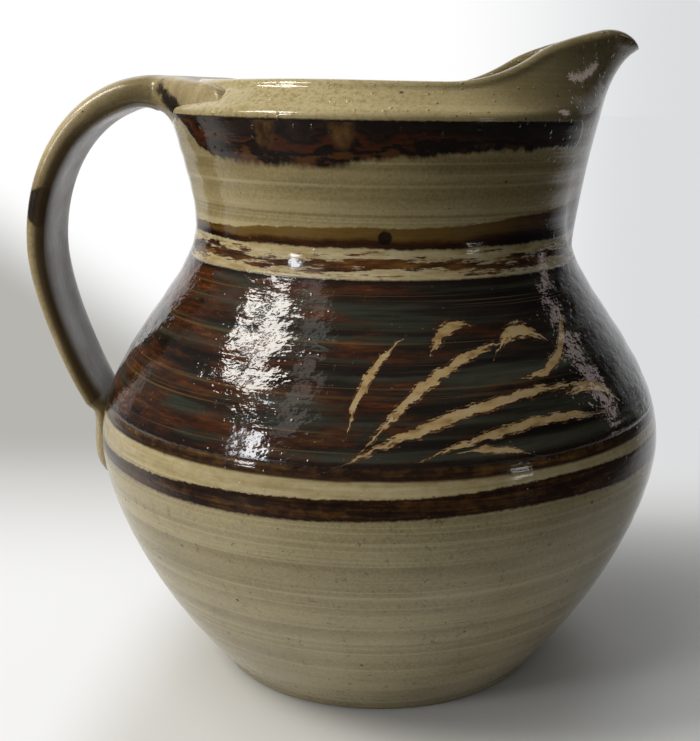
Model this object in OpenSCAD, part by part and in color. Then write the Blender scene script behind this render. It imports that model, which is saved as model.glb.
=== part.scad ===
/* [Thrown body] */
// Radius of the flat foot that rests on the table
foot_r = 64.2; // [58:0.5:70]
// Height of the soft edge round the foot
foot_edge_h = 3; // [2:0.5:5]
// How far the soft edge reaches out beyond the foot
foot_edge_out = 3; // [1:0.5:5]
// Outer radius of the belly
belly_r = 110; // [102:1:120]
// Height of the belly
belly_z = 92; // [84:1:100]
// Outer radius of the neck at its waist
waist_r = 72; // [68:0.4:76]
// Height of the waist of the neck
waist_z = 174; // [168:1:180]
// Outer radius of the ridge below the collar
ridge_r = 80; // [77:0.5:84]
// Height of the ridge below the collar
ridge_z = 214; // [208:1:218]
// Height of the rounding that turns the ridge into the collar
ridge_round_h = 3.4; // [2:0.2:5]
// How far the collar has drawn in at the top of that rounding
ridge_round_in = 1.4; // [0.6:0.2:2]
// Outer radius of the rim
rim_r = 70; // [66:0.5:74]
// Height of the collar, from the ridge to the rim
collar_h = 12.8; // [10:0.4:17]
// Thickness of the thrown wall
wall = 6; // [4.5:0.5:8]
// Thickness of the rim
rim_t = 5; // [3.5:0.5:7]
// Thickness of the floor
floor_t = 9; // [6:0.5:14]
// Radius of the hollow corner between floor and wall
floor_hollow = 12; // [6:1:18]
// Depth of the throwing rings
ring_depth = 0.3; // [0:0.1:1]
// Height of one throwing ring
ring_pitch = 8; // [6:0.5:14]

/* [Pouring spout] */
// Height where the notch for the spout starts in the neck
spout_root_z = 166; // [158:1:178]
// How far the tip of the spout reaches out beyond the ridge
spout_out = 16; // [12:0.5:24]
// How far the pouring edge stands above the rim at the tip
tip_rise = 16.2; // [13:0.4:21]
// How far the pouring edge dips at the tip, below its two shoulders
spout_dip = 6.5; // [2:0.5:9]
// Half width of that dip
spout_dip_half_w = 22; // [16:1:30]
// Half width of the beak at its top
beak_half_w = 45; // [38:1:52]
// Half width of the beak at its root
beak_root_half_w = 20; // [16:1:26]
// Wall of the spout at its pouring edge
spout_wall = 4.6; // [3.6:0.2:6]
// Angle from the middle of the spout to the end of its rising edge, in degrees
spout_half_angle = 73; // [64:1:80]
// The same angle at the root of the spout, in degrees
spout_root_half_angle = 14; // [11:1:20]

/* [Strap handle] */
// How far the handle reaches out beyond the belly
handle_out = 23.6; // [18:0.4:32]
// Height where the handle reaches out furthest
reach_z = 165; // [157:1:173]
// How far the crown of the handle lies out from the ridge
crown_out = 4; // [2:0.5:10]
// How far the crown of the handle stands above the rim
crown_rise = 1.5; // [0.3:0.3:5]
// How far the outside of the handle stands out from the belly at its lower crease
crease_out = 4.4; // [3:0.2:8]
// Height of the lower crease
crease_z = 100.5; // [96:0.5:107]
// Width of the strap
strap_w = 35; // [29:1:41]
// Thickness of the strap where it reaches out furthest
strap_t = 6.8; // [5.8:0.2:9.8]
// Thickness of the strap where it leaves the root
throat_t = 9; // [7:0.2:11]
// Depth of the handle at its crown, above the root
crown_t = 14.5; // [12:0.5:17]
// Depth of the root where it meets the collar
root_h = 18; // [15:0.5:22]
// Half width of the root where it is smeared onto the collar
root_half_w = 46; // [40:1:54]
// How far the underside of the root rises out to its two wings
root_rise = 6; // [3:0.5:9]
// Thickness of the strap at the lower crease
crease_t = 5.8; // [5:0.2:8]
// Depth of the groove drawn along each face of the strap
groove_depth = 0.9; // [0.3:0.1:1.5]
// Height of the bottom end of the pressed tail
tail_z = 68; // [62:1:74]
// How far the pressed tail stands out from the belly
tail_out = 6.5; // [5:0.25:8]
// Half width of the pressed tail
tail_half_w = 18; // [15:0.5:22]

/* [Hidden] */
$fn = 96;

// Places that follow from the sizes above
rim_z = ridge_z + collar_h;
spout_reach = ridge_r + spout_out;
spout_tip_z = rim_z + tip_rise;
handle_reach = belly_r + handle_out;
crown_x = ridge_r + crown_out;
crown_z = rim_z + crown_rise;
crease_x = belly_r + crease_out;

// How far a cut runs past the face that it has to clear
overrun = 4;
// How far the ends of the handle run into the body before they are cut to it
bury = 8;

// Counts of steps along the outlines and round the lofts
low_steps = 66;
shoulder_steps = 50;
neck_steps = 30;
inner_steps = 20;
corner_steps = 6;
lip_steps = 8;
spout_columns = 44;
spout_neck_rows = 14;
spout_lip_rows = 8;
pie_steps = 8;
root_steps = 14;
arch_steps = 22;
fall_steps = 20;
tail_steps = 14;
strap_points = 36;

// Where the handles of each curve of the body lie, as shares of its run
foot_share = 0.6;
low_out_share = 0.566;
low_up_share = 0.308;
belly_under_share = 0.24;
belly_over_share = 0.414;
waist_under_share = 0.273;
waist_over_share = 0.3;
ridge_in_share = 0.47;
ridge_under_share = 0.42;
ridge_lead_share = 0.55;
floor_lead_share = 1.6;
hollow_share = 0.8;
hollow_lead_share = 0.2;

// The same for the front of the spout
front_low_out_share = 0.2;
front_low_up_share = 0.36;
front_top_out_share = 0.33;
front_top_up_share = 0.9;

// The same for the side view of the handle
crown_out_share = 0.481;
crown_in_share = 0.5;
reach_over_share = 0.561;
reach_under_share = 0.364;
crease_out_share = 0.201;
crease_over_share = 0.121;
tail_top_share = 0.19;
tail_pinch_share = 0.55;
tail_low_share = 0.31;
tail_swell_share = 1.75;
throat_share = 0.25;
root_lean_share = 0.75;
root_sink_share = 0.4;
buried_share = 0.35;
strap_square_share = 0.42;
tail_end_share = 0.55;
flare_power = 2.2;
throat_power = 3;

// Points and directions on a cubic curve through p[0] and p[3]
function bez(p, t) =
    pow(1 - t, 3) * p[0] + 3 * pow(1 - t, 2) * t * p[1]
    + 3 * (1 - t) * pow(t, 2) * p[2] + pow(t, 3) * p[3];
function heading(p, t) = unit(
    pow(1 - t, 2) * (p[1] - p[0]) + 2 * (1 - t) * t * (p[2] - p[1]) + pow(t, 2) * (p[3] - p[2]));
function unit(v) = v / norm(v);
function left_of(v) = [-v[1], v[0]];
function mix(a, b, t) = a + (b - a) * t;
function ease(a, b, t) = mix(a, b, pow(t, 2) * (3 - 2 * t));
function steps(n) = [for (i = [1 : n]) i / n];
function from_start(n) = [for (i = [0 : n - 1]) i / n];
function backwards(v) = [for (i = [len(v) - 1 : -1 : 0]) v[i]];
function as_table(line) = [for (p = line) [p[1], p[0]]];

// A closed solid through rings of equal counts, each end closed from side to side
module loft(rings) {
    m = len(rings[0]);
    last = len(rings) - 1;
    function at(i, k) = i * m + k % m;
    sides = [for (i = [0 : last - 1]) for (k = [0 : m - 1]) each [
        [at(i, k), at(i + 1, k), at(i + 1, k + 1)],
        [at(i, k), at(i + 1, k + 1), at(i, k + 1)]]];
    start = [for (k = [0 : ceil(m / 2) - 2]) each [
        [k, k + 1, m - 2 - k], if (m - 1 - k > m - 2 - k && k < m - 1 - k) [k, m - 2 - k, m - 1 - k]]];
    finish = [for (f = start) [for (v = backwards(f)) v + last * m]];
    polyhedron(points = [for (r = rings) each r], faces = concat(sides, start, finish), convexity = 6);
}

// Outline of the body, as curves of [radius, height]
foot_top = [foot_r + foot_edge_out, foot_edge_h];
foot_curve = [
    [foot_r, 0],
    [foot_r + foot_edge_out * foot_share, 0],
    foot_top - [0, foot_edge_h * foot_share],
    foot_top];
low_rise = belly_z - foot_edge_h;
low_curve = [
    foot_top,
    foot_top + [(belly_r - foot_top[0]) * low_out_share, low_rise * low_up_share],
    [belly_r, belly_z - low_rise * belly_under_share],
    [belly_r, belly_z]];
shoulder_rise = waist_z - belly_z;
shoulder_curve = [
    [belly_r, belly_z],
    [belly_r, belly_z + shoulder_rise * belly_over_share],
    [waist_r, waist_z - shoulder_rise * waist_under_share],
    [waist_r, waist_z]];
neck_rise = ridge_z - waist_z;
neck_curve = [
    [waist_r, waist_z],
    [waist_r, waist_z + neck_rise * waist_over_share],
    [mix(ridge_r, waist_r, ridge_in_share), ridge_z - neck_rise * ridge_under_share],
    [ridge_r, ridge_z]];
ridge_top = [ridge_r - ridge_round_in, ridge_z + ridge_round_h];
rim_spring = [rim_r, rim_z - rim_t / 2];
rim_inside = rim_spring - [rim_t, 0];
ridge_lead = ridge_round_h * ridge_lead_share;
ridge_curve = [
    [ridge_r, ridge_z],
    [ridge_r, ridge_z] + heading(neck_curve, 1) * ridge_lead,
    ridge_top - unit(rim_spring - ridge_top) * ridge_lead,
    ridge_top];

// Throwing rings are cut in from the outline and leave the belly at its full radius
function ringed(p) = p + [ring_depth / 2 * (cos(360 * (p[1] - belly_z) / ring_pitch) - 1), 0];
function ring_line(curve, n) = [for (t = steps(n)) ringed(bez(curve, t))];

outer_line = concat(
    [for (t = from_start(corner_steps)) bez(foot_curve, t)],
    [foot_top],
    ring_line(low_curve, low_steps),
    ring_line(shoulder_curve, shoulder_steps),
    ring_line(neck_curve, neck_steps),
    [for (t = steps(corner_steps)) bez(ridge_curve, t)],
    [rim_spring]);

// The inner wall follows the same curves without the rings, one wall inside them
function inside(curve, t, thick) = bez(curve, t) + left_of(heading(curve, t)) * thick;
function inner_run(curve, n) = [for (t = steps(n)) inside(curve, t, wall)];
// Under the ridge it rounds off into the hollow of the collar
collar_way = unit(rim_spring - ridge_top);
hollow_start = inside(neck_curve, hollow_share, wall);
hollow_curve = [
    hollow_start,
    hollow_start + heading(neck_curve, hollow_share) * neck_rise * hollow_lead_share,
    rim_inside - collar_way * neck_rise * hollow_lead_share,
    rim_inside];
inner_wall = concat(
    [for (p = inner_run(low_curve, inner_steps)) if (p[1] > floor_t + floor_hollow) p],
    inner_run(shoulder_curve, inner_steps),
    [for (t = steps(corner_steps)) inside(neck_curve, t * hollow_share, wall)],
    [for (t = steps(corner_steps)) bez(hollow_curve, t)]);
floor_lead = unit(inner_wall[1] - inner_wall[0]) * floor_hollow * foot_share;
floor_curve = [
    [inner_wall[0][0] - floor_hollow * floor_lead_share, floor_t],
    [inner_wall[0][0] - floor_hollow * foot_share, floor_t],
    inner_wall[0] - floor_lead,
    inner_wall[0]];
inner_line = concat([for (t = from_start(corner_steps)) bez(floor_curve, t)], inner_wall);

// Half a turn of a round lip from one side of a wall to the other, without its ends
function lip(from, to, up) = [for (i = [1 : lip_steps - 1]) let (a = 180 * i / lip_steps)
    (from + to) / 2 + (from - to) / 2 * cos(a) + up * sin(a)];
rim_lip = lip(rim_spring, rim_inside, [0, rim_t / 2]);

outer_table = as_table(outer_line);
inner_table = as_table(inner_line);

module filled_body() {
    rotate_extrude()
        polygon(concat([[0, 0]], outer_line, rim_lip, [rim_inside, [0, rim_inside[1]]]));
}

module thrown_shell() {
    rotate_extrude()
        polygon(concat([[0, 0]], outer_line, rim_lip, backwards(inner_line), [[0, floor_t]]));
}

// Half angle of the spout's notch at a height of the body
function notch_angle(z) = mix(spout_root_half_angle, spout_half_angle,
    (min(z, rim_spring[1]) - spout_root_z) / (rim_spring[1] - spout_root_z));

// Heights of the spout's rows on the body, from its root to the rim
spout_rows = concat(
    [for (t = from_start(spout_neck_rows)) mix(spout_root_z, ridge_z, t)],
    [for (t = from_start(spout_lip_rows)) mix(ridge_z, rim_spring[1], t)],
    [rim_spring[1]]);

// Pie slices that cut the notch for the spout out of the wall
module spout_notch() {
    loft([for (z = concat(spout_rows, [rim_z + overrun])) let (half = notch_angle(z))
        concat([[0, 0, z]], [for (i = [0 : pie_steps]) let (a = half * (2 * i / pie_steps - 1))
            [belly_r * cos(a), belly_r * sin(a), z]])]);
}

// Side view of the front of the spout, as [distance from the axis, height]
front_root = [lookup(spout_root_z, outer_table), spout_root_z];
front_tip = [spout_reach, spout_tip_z - rim_t / 2];
front_run = front_tip - front_root;
front_curve = [
    front_root,
    front_root + [front_run[0] * front_low_out_share, front_run[1] * front_low_up_share],
    front_root + [front_run[0] * front_top_out_share, front_run[1] * front_top_up_share],
    front_tip];
front_samples = concat([0], steps(inner_steps));
front_table = as_table([for (t = front_samples) bez(front_curve, t)]);
front_inner_table = as_table([for (t = front_samples) inside(front_curve, t, mix(wall, spout_wall, t))]);

// How strongly the beak draws the wall out, from 1 in its middle to 0 at its sides
function drawn(y, half) = pow(1 - pow(min(1, abs(y) / half), 2), 2);
function swell(share) = pow(cos(90 * min(1, abs(share))), 2);

// Height where the round lip of the spout springs, over a place u from -1 to 1 across it
function lip_z(u) = rim_spring[1]
    + (spout_tip_z + spout_dip - rim_z) * swell(u)
    - spout_dip * swell(rim_r * sin(spout_half_angle * u) / spout_dip_half_w);

// A point on the outer or inner face of the spout, over the body's own height z
function spout_point(u, z, wall_table, beak_table, inset) =
    let (a = u * notch_angle(z))
    let (r = lookup(z, wall_table))
    let (up = max(0, (z - ridge_z) / (rim_spring[1] - ridge_z)))
    let (height = z + up * (lip_z(u) - rim_spring[1]))
    let (middle = z + up * (lip_z(0) - rim_spring[1]))
    let (rise = (z - spout_root_z) / (rim_spring[1] - spout_root_z))
    let (half = mix(beak_root_half_w, beak_half_w, rise) - inset)
    let (out = (lookup(middle, beak_table) - r) * drawn(r * sin(a), half))
    [r * cos(a) + out, r * sin(a), height];

function spout_column(u) =
    let (outer = [for (z = spout_rows) spout_point(u, z, outer_table, front_table, 0)])
    let (inner = [for (z = spout_rows) spout_point(u, z, inner_table, front_inner_table, spout_wall)])
    let (top = len(spout_rows) - 1)
    concat(outer, lip(outer[top], inner[top], [0, 0, rim_t / 2]), backwards(inner));

// Side view of the outside of the handle, from its root over the crown to its tail
root_z = mix(rim_spring[1], rim_z, root_sink_share);
root_curve = [
    [-(rim_r - bury), root_z],
    [-mix(rim_r - bury, crown_x, crown_in_share), root_z],
    [-mix(crown_x, rim_r - bury, crown_in_share), crown_z],
    [-crown_x, crown_z]];
arch_curve = [
    [-crown_x, crown_z],
    [-mix(crown_x, handle_reach, crown_out_share), crown_z],
    [-handle_reach, mix(reach_z, crown_z, reach_over_share)],
    [-handle_reach, reach_z]];
fall_curve = [
    [-handle_reach, reach_z],
    [-handle_reach, mix(reach_z, crease_z, reach_under_share)],
    [-mix(crease_x, handle_reach, crease_out_share), mix(crease_z, reach_z, crease_over_share)],
    [-crease_x, crease_z]];
tail_curve = [
    [-crease_x, crease_z],
    [-(crease_x - tail_out * tail_pinch_share), mix(crease_z, tail_z, tail_top_share)],
    [-(belly_r + tail_out * tail_swell_share), mix(tail_z, crease_z, tail_low_share)],
    [-(lookup(tail_z, outer_table)), tail_z]];

// A ring of the strap: p is on its outside, way runs along it, its underside lifts by rise out to
// its sides, leans outward by lean and bends round the body by curl
function strap_ring(p, way, half, thick, curl, rise = 0, lean = 0) = [for (k = [0 : strap_points - 1])
    let (a = -360 * (k + 1 / 2) / strap_points)
    let (y = half * sign(cos(a)) * pow(abs(cos(a)), strap_square_share))
    let (face = sign(sin(a)) * pow(abs(sin(a)), strap_square_share))
    let (under = thick - rise * pow(y / half, 2))
    let (depth = under / 2 * (1 - face) + groove_depth * face * drawn(y, half))
    let (q = p + left_of(way) * depth)
    let (slant = lean * min(depth, rim_z - ridge_z))
    let (bend = curl + slant)
    let (wrap = curl == 0 ? 0 : bend - sqrt(pow(bend, 2) - pow(y, 2)))
    [q[0] + wrap - slant, y, q[1]]];

// How far the root has spread, from 1 where it meets the collar to 0 at the crown
function flare(t) = min(1, (1 - t) / (1 - buried_share));

module strap_loft() {
    half = strap_w / 2;
    root = [for (t = from_start(root_steps)) strap_ring(bez(root_curve, t), heading(root_curve, t),
        mix(half, root_half_w, pow(flare(t), flare_power)), mix(root_h, crown_t, t), rim_r,
        mix(root_rise, 0, t), root_lean_share * flare(t))];
    arch = [for (t = from_start(arch_steps)) strap_ring(bez(arch_curve, t), heading(arch_curve, t),
        half, t < throat_share ? mix(throat_t, crown_t, pow(1 - t / throat_share, throat_power))
            : mix(throat_t, strap_t, (t - throat_share) / (1 - throat_share)), 0)];
    fall = [for (t = from_start(fall_steps)) strap_ring(bez(fall_curve, t), heading(fall_curve, t),
        half, mix(strap_t, crease_t, t), 0)];
    tail = [for (t = concat([0], steps(tail_steps))) strap_ring(bez(tail_curve, t), heading(tail_curve, t),
        t < tail_end_share ? ease(half, tail_half_w, t / tail_end_share)
            : mix(tail_half_w, half * tail_end_share, pow((t - tail_end_share) / (1 - tail_end_share), 2)),
        mix(crease_t, crease_t + bury, t), belly_r)];
    loft(concat(root, arch, fall, tail));
}

// Wheel-thrown vessel: floor, belly, neck and collar, with a notch cut for the spout
module thrown_body() {
    color("#8f8462") difference() {
        thrown_shell();
        spout_notch();
    }
}

// Beak drawn out of the collar, its walls running on from the cut edges of the notch
module pouring_spout() {
    color("#7d7354") loft([for (i = [0 : spout_columns]) spout_column(1 - 2 * i / spout_columns)]);
}

// Strap pulled from a lump of clay, smeared onto the collar and pressed onto the belly
module strap_handle() {
    color("#a39470") difference() {
        strap_loft();
        filled_body();
        cylinder(r = rim_r - rim_t / 2, h = crown_z + overrun);
    }
}

thrown_body();
pouring_spout();
strap_handle();
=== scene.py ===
"""Stoneware pitcher: a wheel-thrown body, a drawn pouring spout and a pulled strap handle.

Sizes are in millimetres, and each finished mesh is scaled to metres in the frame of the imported
model: origin at the centre of the foot, +X towards the spout, +Z up.
"""
import logging
import math
from bisect import bisect_right
from dataclasses import dataclass, field
from enum import Enum
from functools import cached_property

import bmesh
import bpy
from mathutils import Matrix, Vector


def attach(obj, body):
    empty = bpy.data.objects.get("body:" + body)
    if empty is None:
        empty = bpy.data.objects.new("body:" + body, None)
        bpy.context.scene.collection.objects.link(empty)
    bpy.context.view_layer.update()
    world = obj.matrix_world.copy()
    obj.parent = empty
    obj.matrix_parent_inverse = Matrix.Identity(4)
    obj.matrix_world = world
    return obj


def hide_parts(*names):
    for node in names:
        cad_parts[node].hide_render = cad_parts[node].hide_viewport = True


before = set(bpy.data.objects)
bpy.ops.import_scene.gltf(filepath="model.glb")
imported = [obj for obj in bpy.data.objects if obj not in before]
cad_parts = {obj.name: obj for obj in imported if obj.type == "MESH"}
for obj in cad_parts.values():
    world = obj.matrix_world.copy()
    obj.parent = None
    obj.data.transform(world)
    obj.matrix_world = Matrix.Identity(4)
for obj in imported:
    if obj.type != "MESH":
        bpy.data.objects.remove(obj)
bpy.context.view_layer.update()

log = logging.getLogger("pitcher")
MM = 0.001
# Points closer than this, in millimetres, are one point
TOUCH = 1e-4
# A span of values, a painted edge as (angle, height), and a colour ramp as (share, hex colour)
Span = tuple[float, float]
Edge = tuple[tuple[float, float], ...]
Ramp = tuple[tuple[float, str], ...]


def mix(a: float, b: float, t: float) -> float:
    """Value between a and b at the share t."""
    return a + (b - a) * t


def ease(a: float, b: float, t: float) -> float:
    """Value between a and b at the share t, starting and ending softly; t is held to 0 to 1."""
    t = min(1.0, max(0.0, t))
    return mix(a, b, t * t * (3 - 2 * t))


def side_point(out: float, up: float) -> Vector:
    """Point of the side view, from its distance to the axis and its height."""
    return Vector((out, up))


@dataclass(frozen=True)
class Curve:
    """A cubic curve in the side view, through start and end, with points as (out, up)."""

    start: Vector
    lead: Vector
    trail: Vector
    end: Vector

    def at(self, t: float) -> Vector:
        """Point on the curve at the share t."""
        s = 1 - t
        return (self.start * s**3 + self.lead * (3 * s * s * t)
                + self.trail * (3 * s * t * t) + self.end * t**3)

    def heading(self, t: float) -> Vector:
        """Direction of the curve at the share t, of length one."""
        s = 1 - t
        return ((self.lead - self.start) * s * s + (self.trail - self.lead) * (2 * s * t)
                + (self.end - self.trail) * t * t).normalized()

    def inside(self, t: float, thick: float) -> Vector:
        """Point that lies thick to the left of the curve at the share t."""
        way = self.heading(t)
        return self.at(t) + Vector((-way.y, way.x)) * thick

    def walk(self, count: int) -> list[Vector]:
        """Points at count even steps along the curve, without its start."""
        return [self.at(i / count) for i in range(1, count + 1)]


@dataclass(frozen=True)
class Table:
    """Values over a rising quantity, read with straight lines between its entries."""

    keys: tuple[float, ...]
    values: tuple[float, ...]

    @classmethod
    def of(cls, *pairs: tuple[float, float]) -> "Table":
        """Table of (key, value) pairs in rising order."""
        return cls(tuple(p[0] for p in pairs), tuple(p[1] for p in pairs))

    @classmethod
    def out_over_height(cls, line: list[Vector]) -> "Table":
        """Table of the distance from the axis over the height, from a rising line."""
        return cls(tuple(p.y for p in line), tuple(p.x for p in line))

    def at(self, key: float) -> float:
        """Value at a key, held at the ends."""
        if key <= self.keys[0]:
            return self.values[0]
        if key >= self.keys[-1]:
            return self.values[-1]
        i = bisect_right(self.keys, key)
        low, high = self.keys[i - 1], self.keys[i]
        return mix(self.values[i - 1], self.values[i], (key - low) / (high - low))


class Side(Enum):
    """Where a row of the thrown wall lies."""

    OUTSIDE = 0
    LIP = 1
    INSIDE = 2


@dataclass(frozen=True)
class Row:
    """One ring of points round the wall: out and up place it, and turn is its step over the lip."""

    side: Side
    out: float
    up: float
    turn: float = 0.0


@dataclass
class ThrownWall:
    """The wall as it leaves the wheel, before the spout is drawn out of it.

    The skin of body and spout is made here in one, so that it runs on where the two meet.
    """

    foot_r: float = 64.2
    foot_edge_h: float = 3.0
    foot_edge_out: float = 3.0
    belly_r: float = 110.0
    belly_z: float = 92.0
    waist_r: float = 72.0
    waist_z: float = 174.0
    ridge_r: float = 80.0
    ridge_z: float = 214.0
    ridge_round_h: float = 3.4
    ridge_round_in: float = 1.4
    rim_r: float = 70.0
    rim_z: float = 226.8
    rim_t: float = 5.0
    thick: float = 6.0
    floor_t: float = 9.0
    floor_hollow: float = 12.0
    # Share of the neck from which the inside runs straight to the lip and leaves out the ridge
    hollow_from: float = 0.8
    hollow_lead: float = 0.2
    corner_h: float = 14.0
    foot_rings: tuple[float, ...] = (0.0, 22.0, 44.0, 60.0)
    floor_rings: tuple[float, ...] = (0.9, 0.72, 0.5, 0.25, 0.0)
    columns: int = 300
    lip_rows: int = 10
    inside_rows: int = 46
    corner_rows: int = 14
    rows_on: dict[str, int] = field(default_factory=lambda: {
        "foot": 6, "low": 64, "shoulder": 62, "neck": 28, "ridge": 7, "collar": 9})
    outer_steps: int = 160
    inner_steps: int = 120
    # Turns of the throwing spiral and depth of its groove over the height, outside and inside
    turns: Table = Table.of((0, 0), (100, 11), (165, 17), (214, 23), (230, 25))
    groove: Table = Table.of((8, 0.0), (24, 0.1), (84, 0.08), (92, 0.0), (104, 0.06), (118, 0.26),
                             (158, 0.3), (168, 0.12), (180, 0.2), (204, 0.24), (212, 0.0))
    groove_in: Table = Table.of((22, 0.0), (34, 0.5), (150, 0.6), (200, 0.35), (218, 0.0))

    @property
    def spring_z(self) -> float:
        """Height where the round lip springs from the wall."""
        return self.rim_z - self.rim_t / 2

    @cached_property
    def curves(self) -> dict[str, Curve]:
        """The named curves of the outline, with the solid's own shares."""
        v = side_point
        foot_top = v(self.foot_r + self.foot_edge_out, self.foot_edge_h)
        low, shoulder = self.belly_z - self.foot_edge_h, self.waist_z - self.belly_z
        neck = self.ridge_z - self.waist_z
        ridge_top = v(self.ridge_r - self.ridge_round_in, self.ridge_z + self.ridge_round_h)
        spring = v(self.rim_r, self.spring_z)
        neck_curve = Curve(
            v(self.waist_r, self.waist_z), v(self.waist_r, self.waist_z + neck * 0.3),
            v(mix(self.ridge_r, self.waist_r, 0.47), self.ridge_z - neck * 0.42),
            v(self.ridge_r, self.ridge_z))
        lead = self.ridge_round_h * 0.55
        return {
            "foot": Curve(v(self.foot_r, 0), v(self.foot_r + self.foot_edge_out * 0.6, 0),
                          foot_top - v(0, self.foot_edge_h * 0.6), foot_top),
            "low": Curve(foot_top,
                         foot_top + v((self.belly_r - foot_top.x) * 0.566, low * 0.308),
                         v(self.belly_r, self.belly_z - low * 0.24), v(self.belly_r, self.belly_z)),
            "shoulder": Curve(v(self.belly_r, self.belly_z),
                              v(self.belly_r, self.belly_z + shoulder * 0.414),
                              v(self.waist_r, self.waist_z - shoulder * 0.273),
                              v(self.waist_r, self.waist_z)),
            "neck": neck_curve,
            "ridge": Curve(neck_curve.end, neck_curve.end + neck_curve.heading(1) * lead,
                           ridge_top - (spring - ridge_top).normalized() * lead, ridge_top),
            "collar": Curve(ridge_top, ridge_top.lerp(spring, 1 / 3),
                            ridge_top.lerp(spring, 2 / 3), spring),
        }

    @cached_property
    def outer(self) -> Table:
        """Outer radius over the height."""
        return Table.out_over_height(
            [p for curve in self.curves.values() for p in curve.walk(self.outer_steps)])

    @cached_property
    def inner(self) -> Table:
        """Inner radius over the height, one wall inside the outer curves."""
        c, neck = self.curves, self.ridge_z - self.waist_z
        inside = Vector((self.rim_r - self.rim_t, self.spring_z))
        collar_way = (c["collar"].end - c["collar"].start).normalized()
        end, lead = self.hollow_from, self.hollow_lead
        start = c["neck"].inside(end, self.thick)
        hollow = Curve(start, start + c["neck"].heading(end) * neck * lead,
                       inside - collar_way * neck * lead, inside)
        steps, few = self.inner_steps, self.inner_steps // 2
        wall = [c["low"].inside(i / steps, self.thick) for i in range(1, steps + 1)]
        wall = [p for p in wall if p.y > self.floor_t + self.floor_hollow]
        wall += [c["shoulder"].inside(i / steps, self.thick) for i in range(1, steps + 1)]
        wall += [c["neck"].inside(end * i / few, self.thick) for i in range(1, few + 1)]
        wall += hollow.walk(few)
        corner = Curve(Vector((wall[0].x - self.floor_hollow * 1.6, self.floor_t)),
                       Vector((wall[0].x - self.floor_hollow * 0.6, self.floor_t)),
                       wall[0] - (wall[1] - wall[0]).normalized() * self.floor_hollow * 0.6,
                       wall[0])
        # The table over the height starts where the corner has left the flat floor
        corner_line = [p for p in corner.walk(40)[:-1] if p.y > self.floor_t + 0.02]
        return Table.out_over_height(corner_line + wall)

    def rows(self, root_z: float) -> list[Row]:
        """Rows of the outline from the middle of the foot over the lip to the middle of the floor.

        Args:
            root_z: height of the spout's root, on which one row of each side has to lie.

        Returns:
            The rows in order, with as many rows above root_z outside as inside.
        """
        c = self.curves
        line = [Vector((out, 0.0)) for out in (*self.foot_rings, self.foot_r)]
        for name in ("foot", "low", "shoulder"):
            line += c[name].walk(self.rows_on[name])
        nearest = min(range(len(line)), key=lambda i: abs(line[i].y - root_z))
        # The nearest row is moved onto the height at which the spout begins
        line[nearest] = Vector((self.outer.at(root_z), root_z))
        for name in ("neck", "ridge", "collar"):
            line += c[name].walk(self.rows_on[name])
        rows = [Row(Side.OUTSIDE, p.x, p.y) for p in line]
        rows += [Row(Side.LIP, 0, self.spring_z, 180 * i / self.lip_rows)
                 for i in range(1, self.lip_rows)]
        heights = [p.y for p in line if p.y >= root_z - 1e-6][::-1]
        low_end = self.inner.keys[0]
        bend, many, few = low_end + self.corner_h, self.inside_rows, self.corner_rows
        heights += [mix(root_z, bend, i / many) for i in range(1, many + 1)]
        heights += [mix(bend, low_end, i / few) for i in range(1, few + 1)]
        rows += [Row(Side.INSIDE, self.inner.at(z), z) for z in heights]
        edge = self.inner.at(low_end)
        return rows + [Row(Side.INSIDE, edge * share, self.floor_t) for share in self.floor_rings]

    @staticmethod
    def ring_cut(depth: float, turns: float, height: float, angle: float) -> float:
        """Depth of the throwing spiral at a place on the wall; it never stands proud.

        Args:
            depth: depth of the groove at this height.
            turns: turns of the spiral up to this height.
            height: height on the wall.
            angle: angle round the axis, in radians.

        Returns:
            The depth, in millimetres.
        """
        # The hand doesn't press evenly: round the pot a ring loses up to two fifths of its depth
        drift = 0.8 + 0.2 * math.sin(3 * angle + height * 0.11)
        return depth * drift * (1 - math.cos(2 * math.pi * turns - angle)) / 2

    def rim_sway(self, angle: float) -> float:
        """How far the hand-made rim sinks below its true height at an angle in radians."""
        return 0.35 + 0.2 * math.sin(2 * angle + 0.7) + 0.15 * math.sin(5 * angle + 2.1)


@dataclass(frozen=True)
class Level:
    """What the wall and the spout measure at one height, on one side."""

    radius: float
    half: float
    share: float
    reach: float
    width: float
    turns: float
    groove: float


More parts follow.
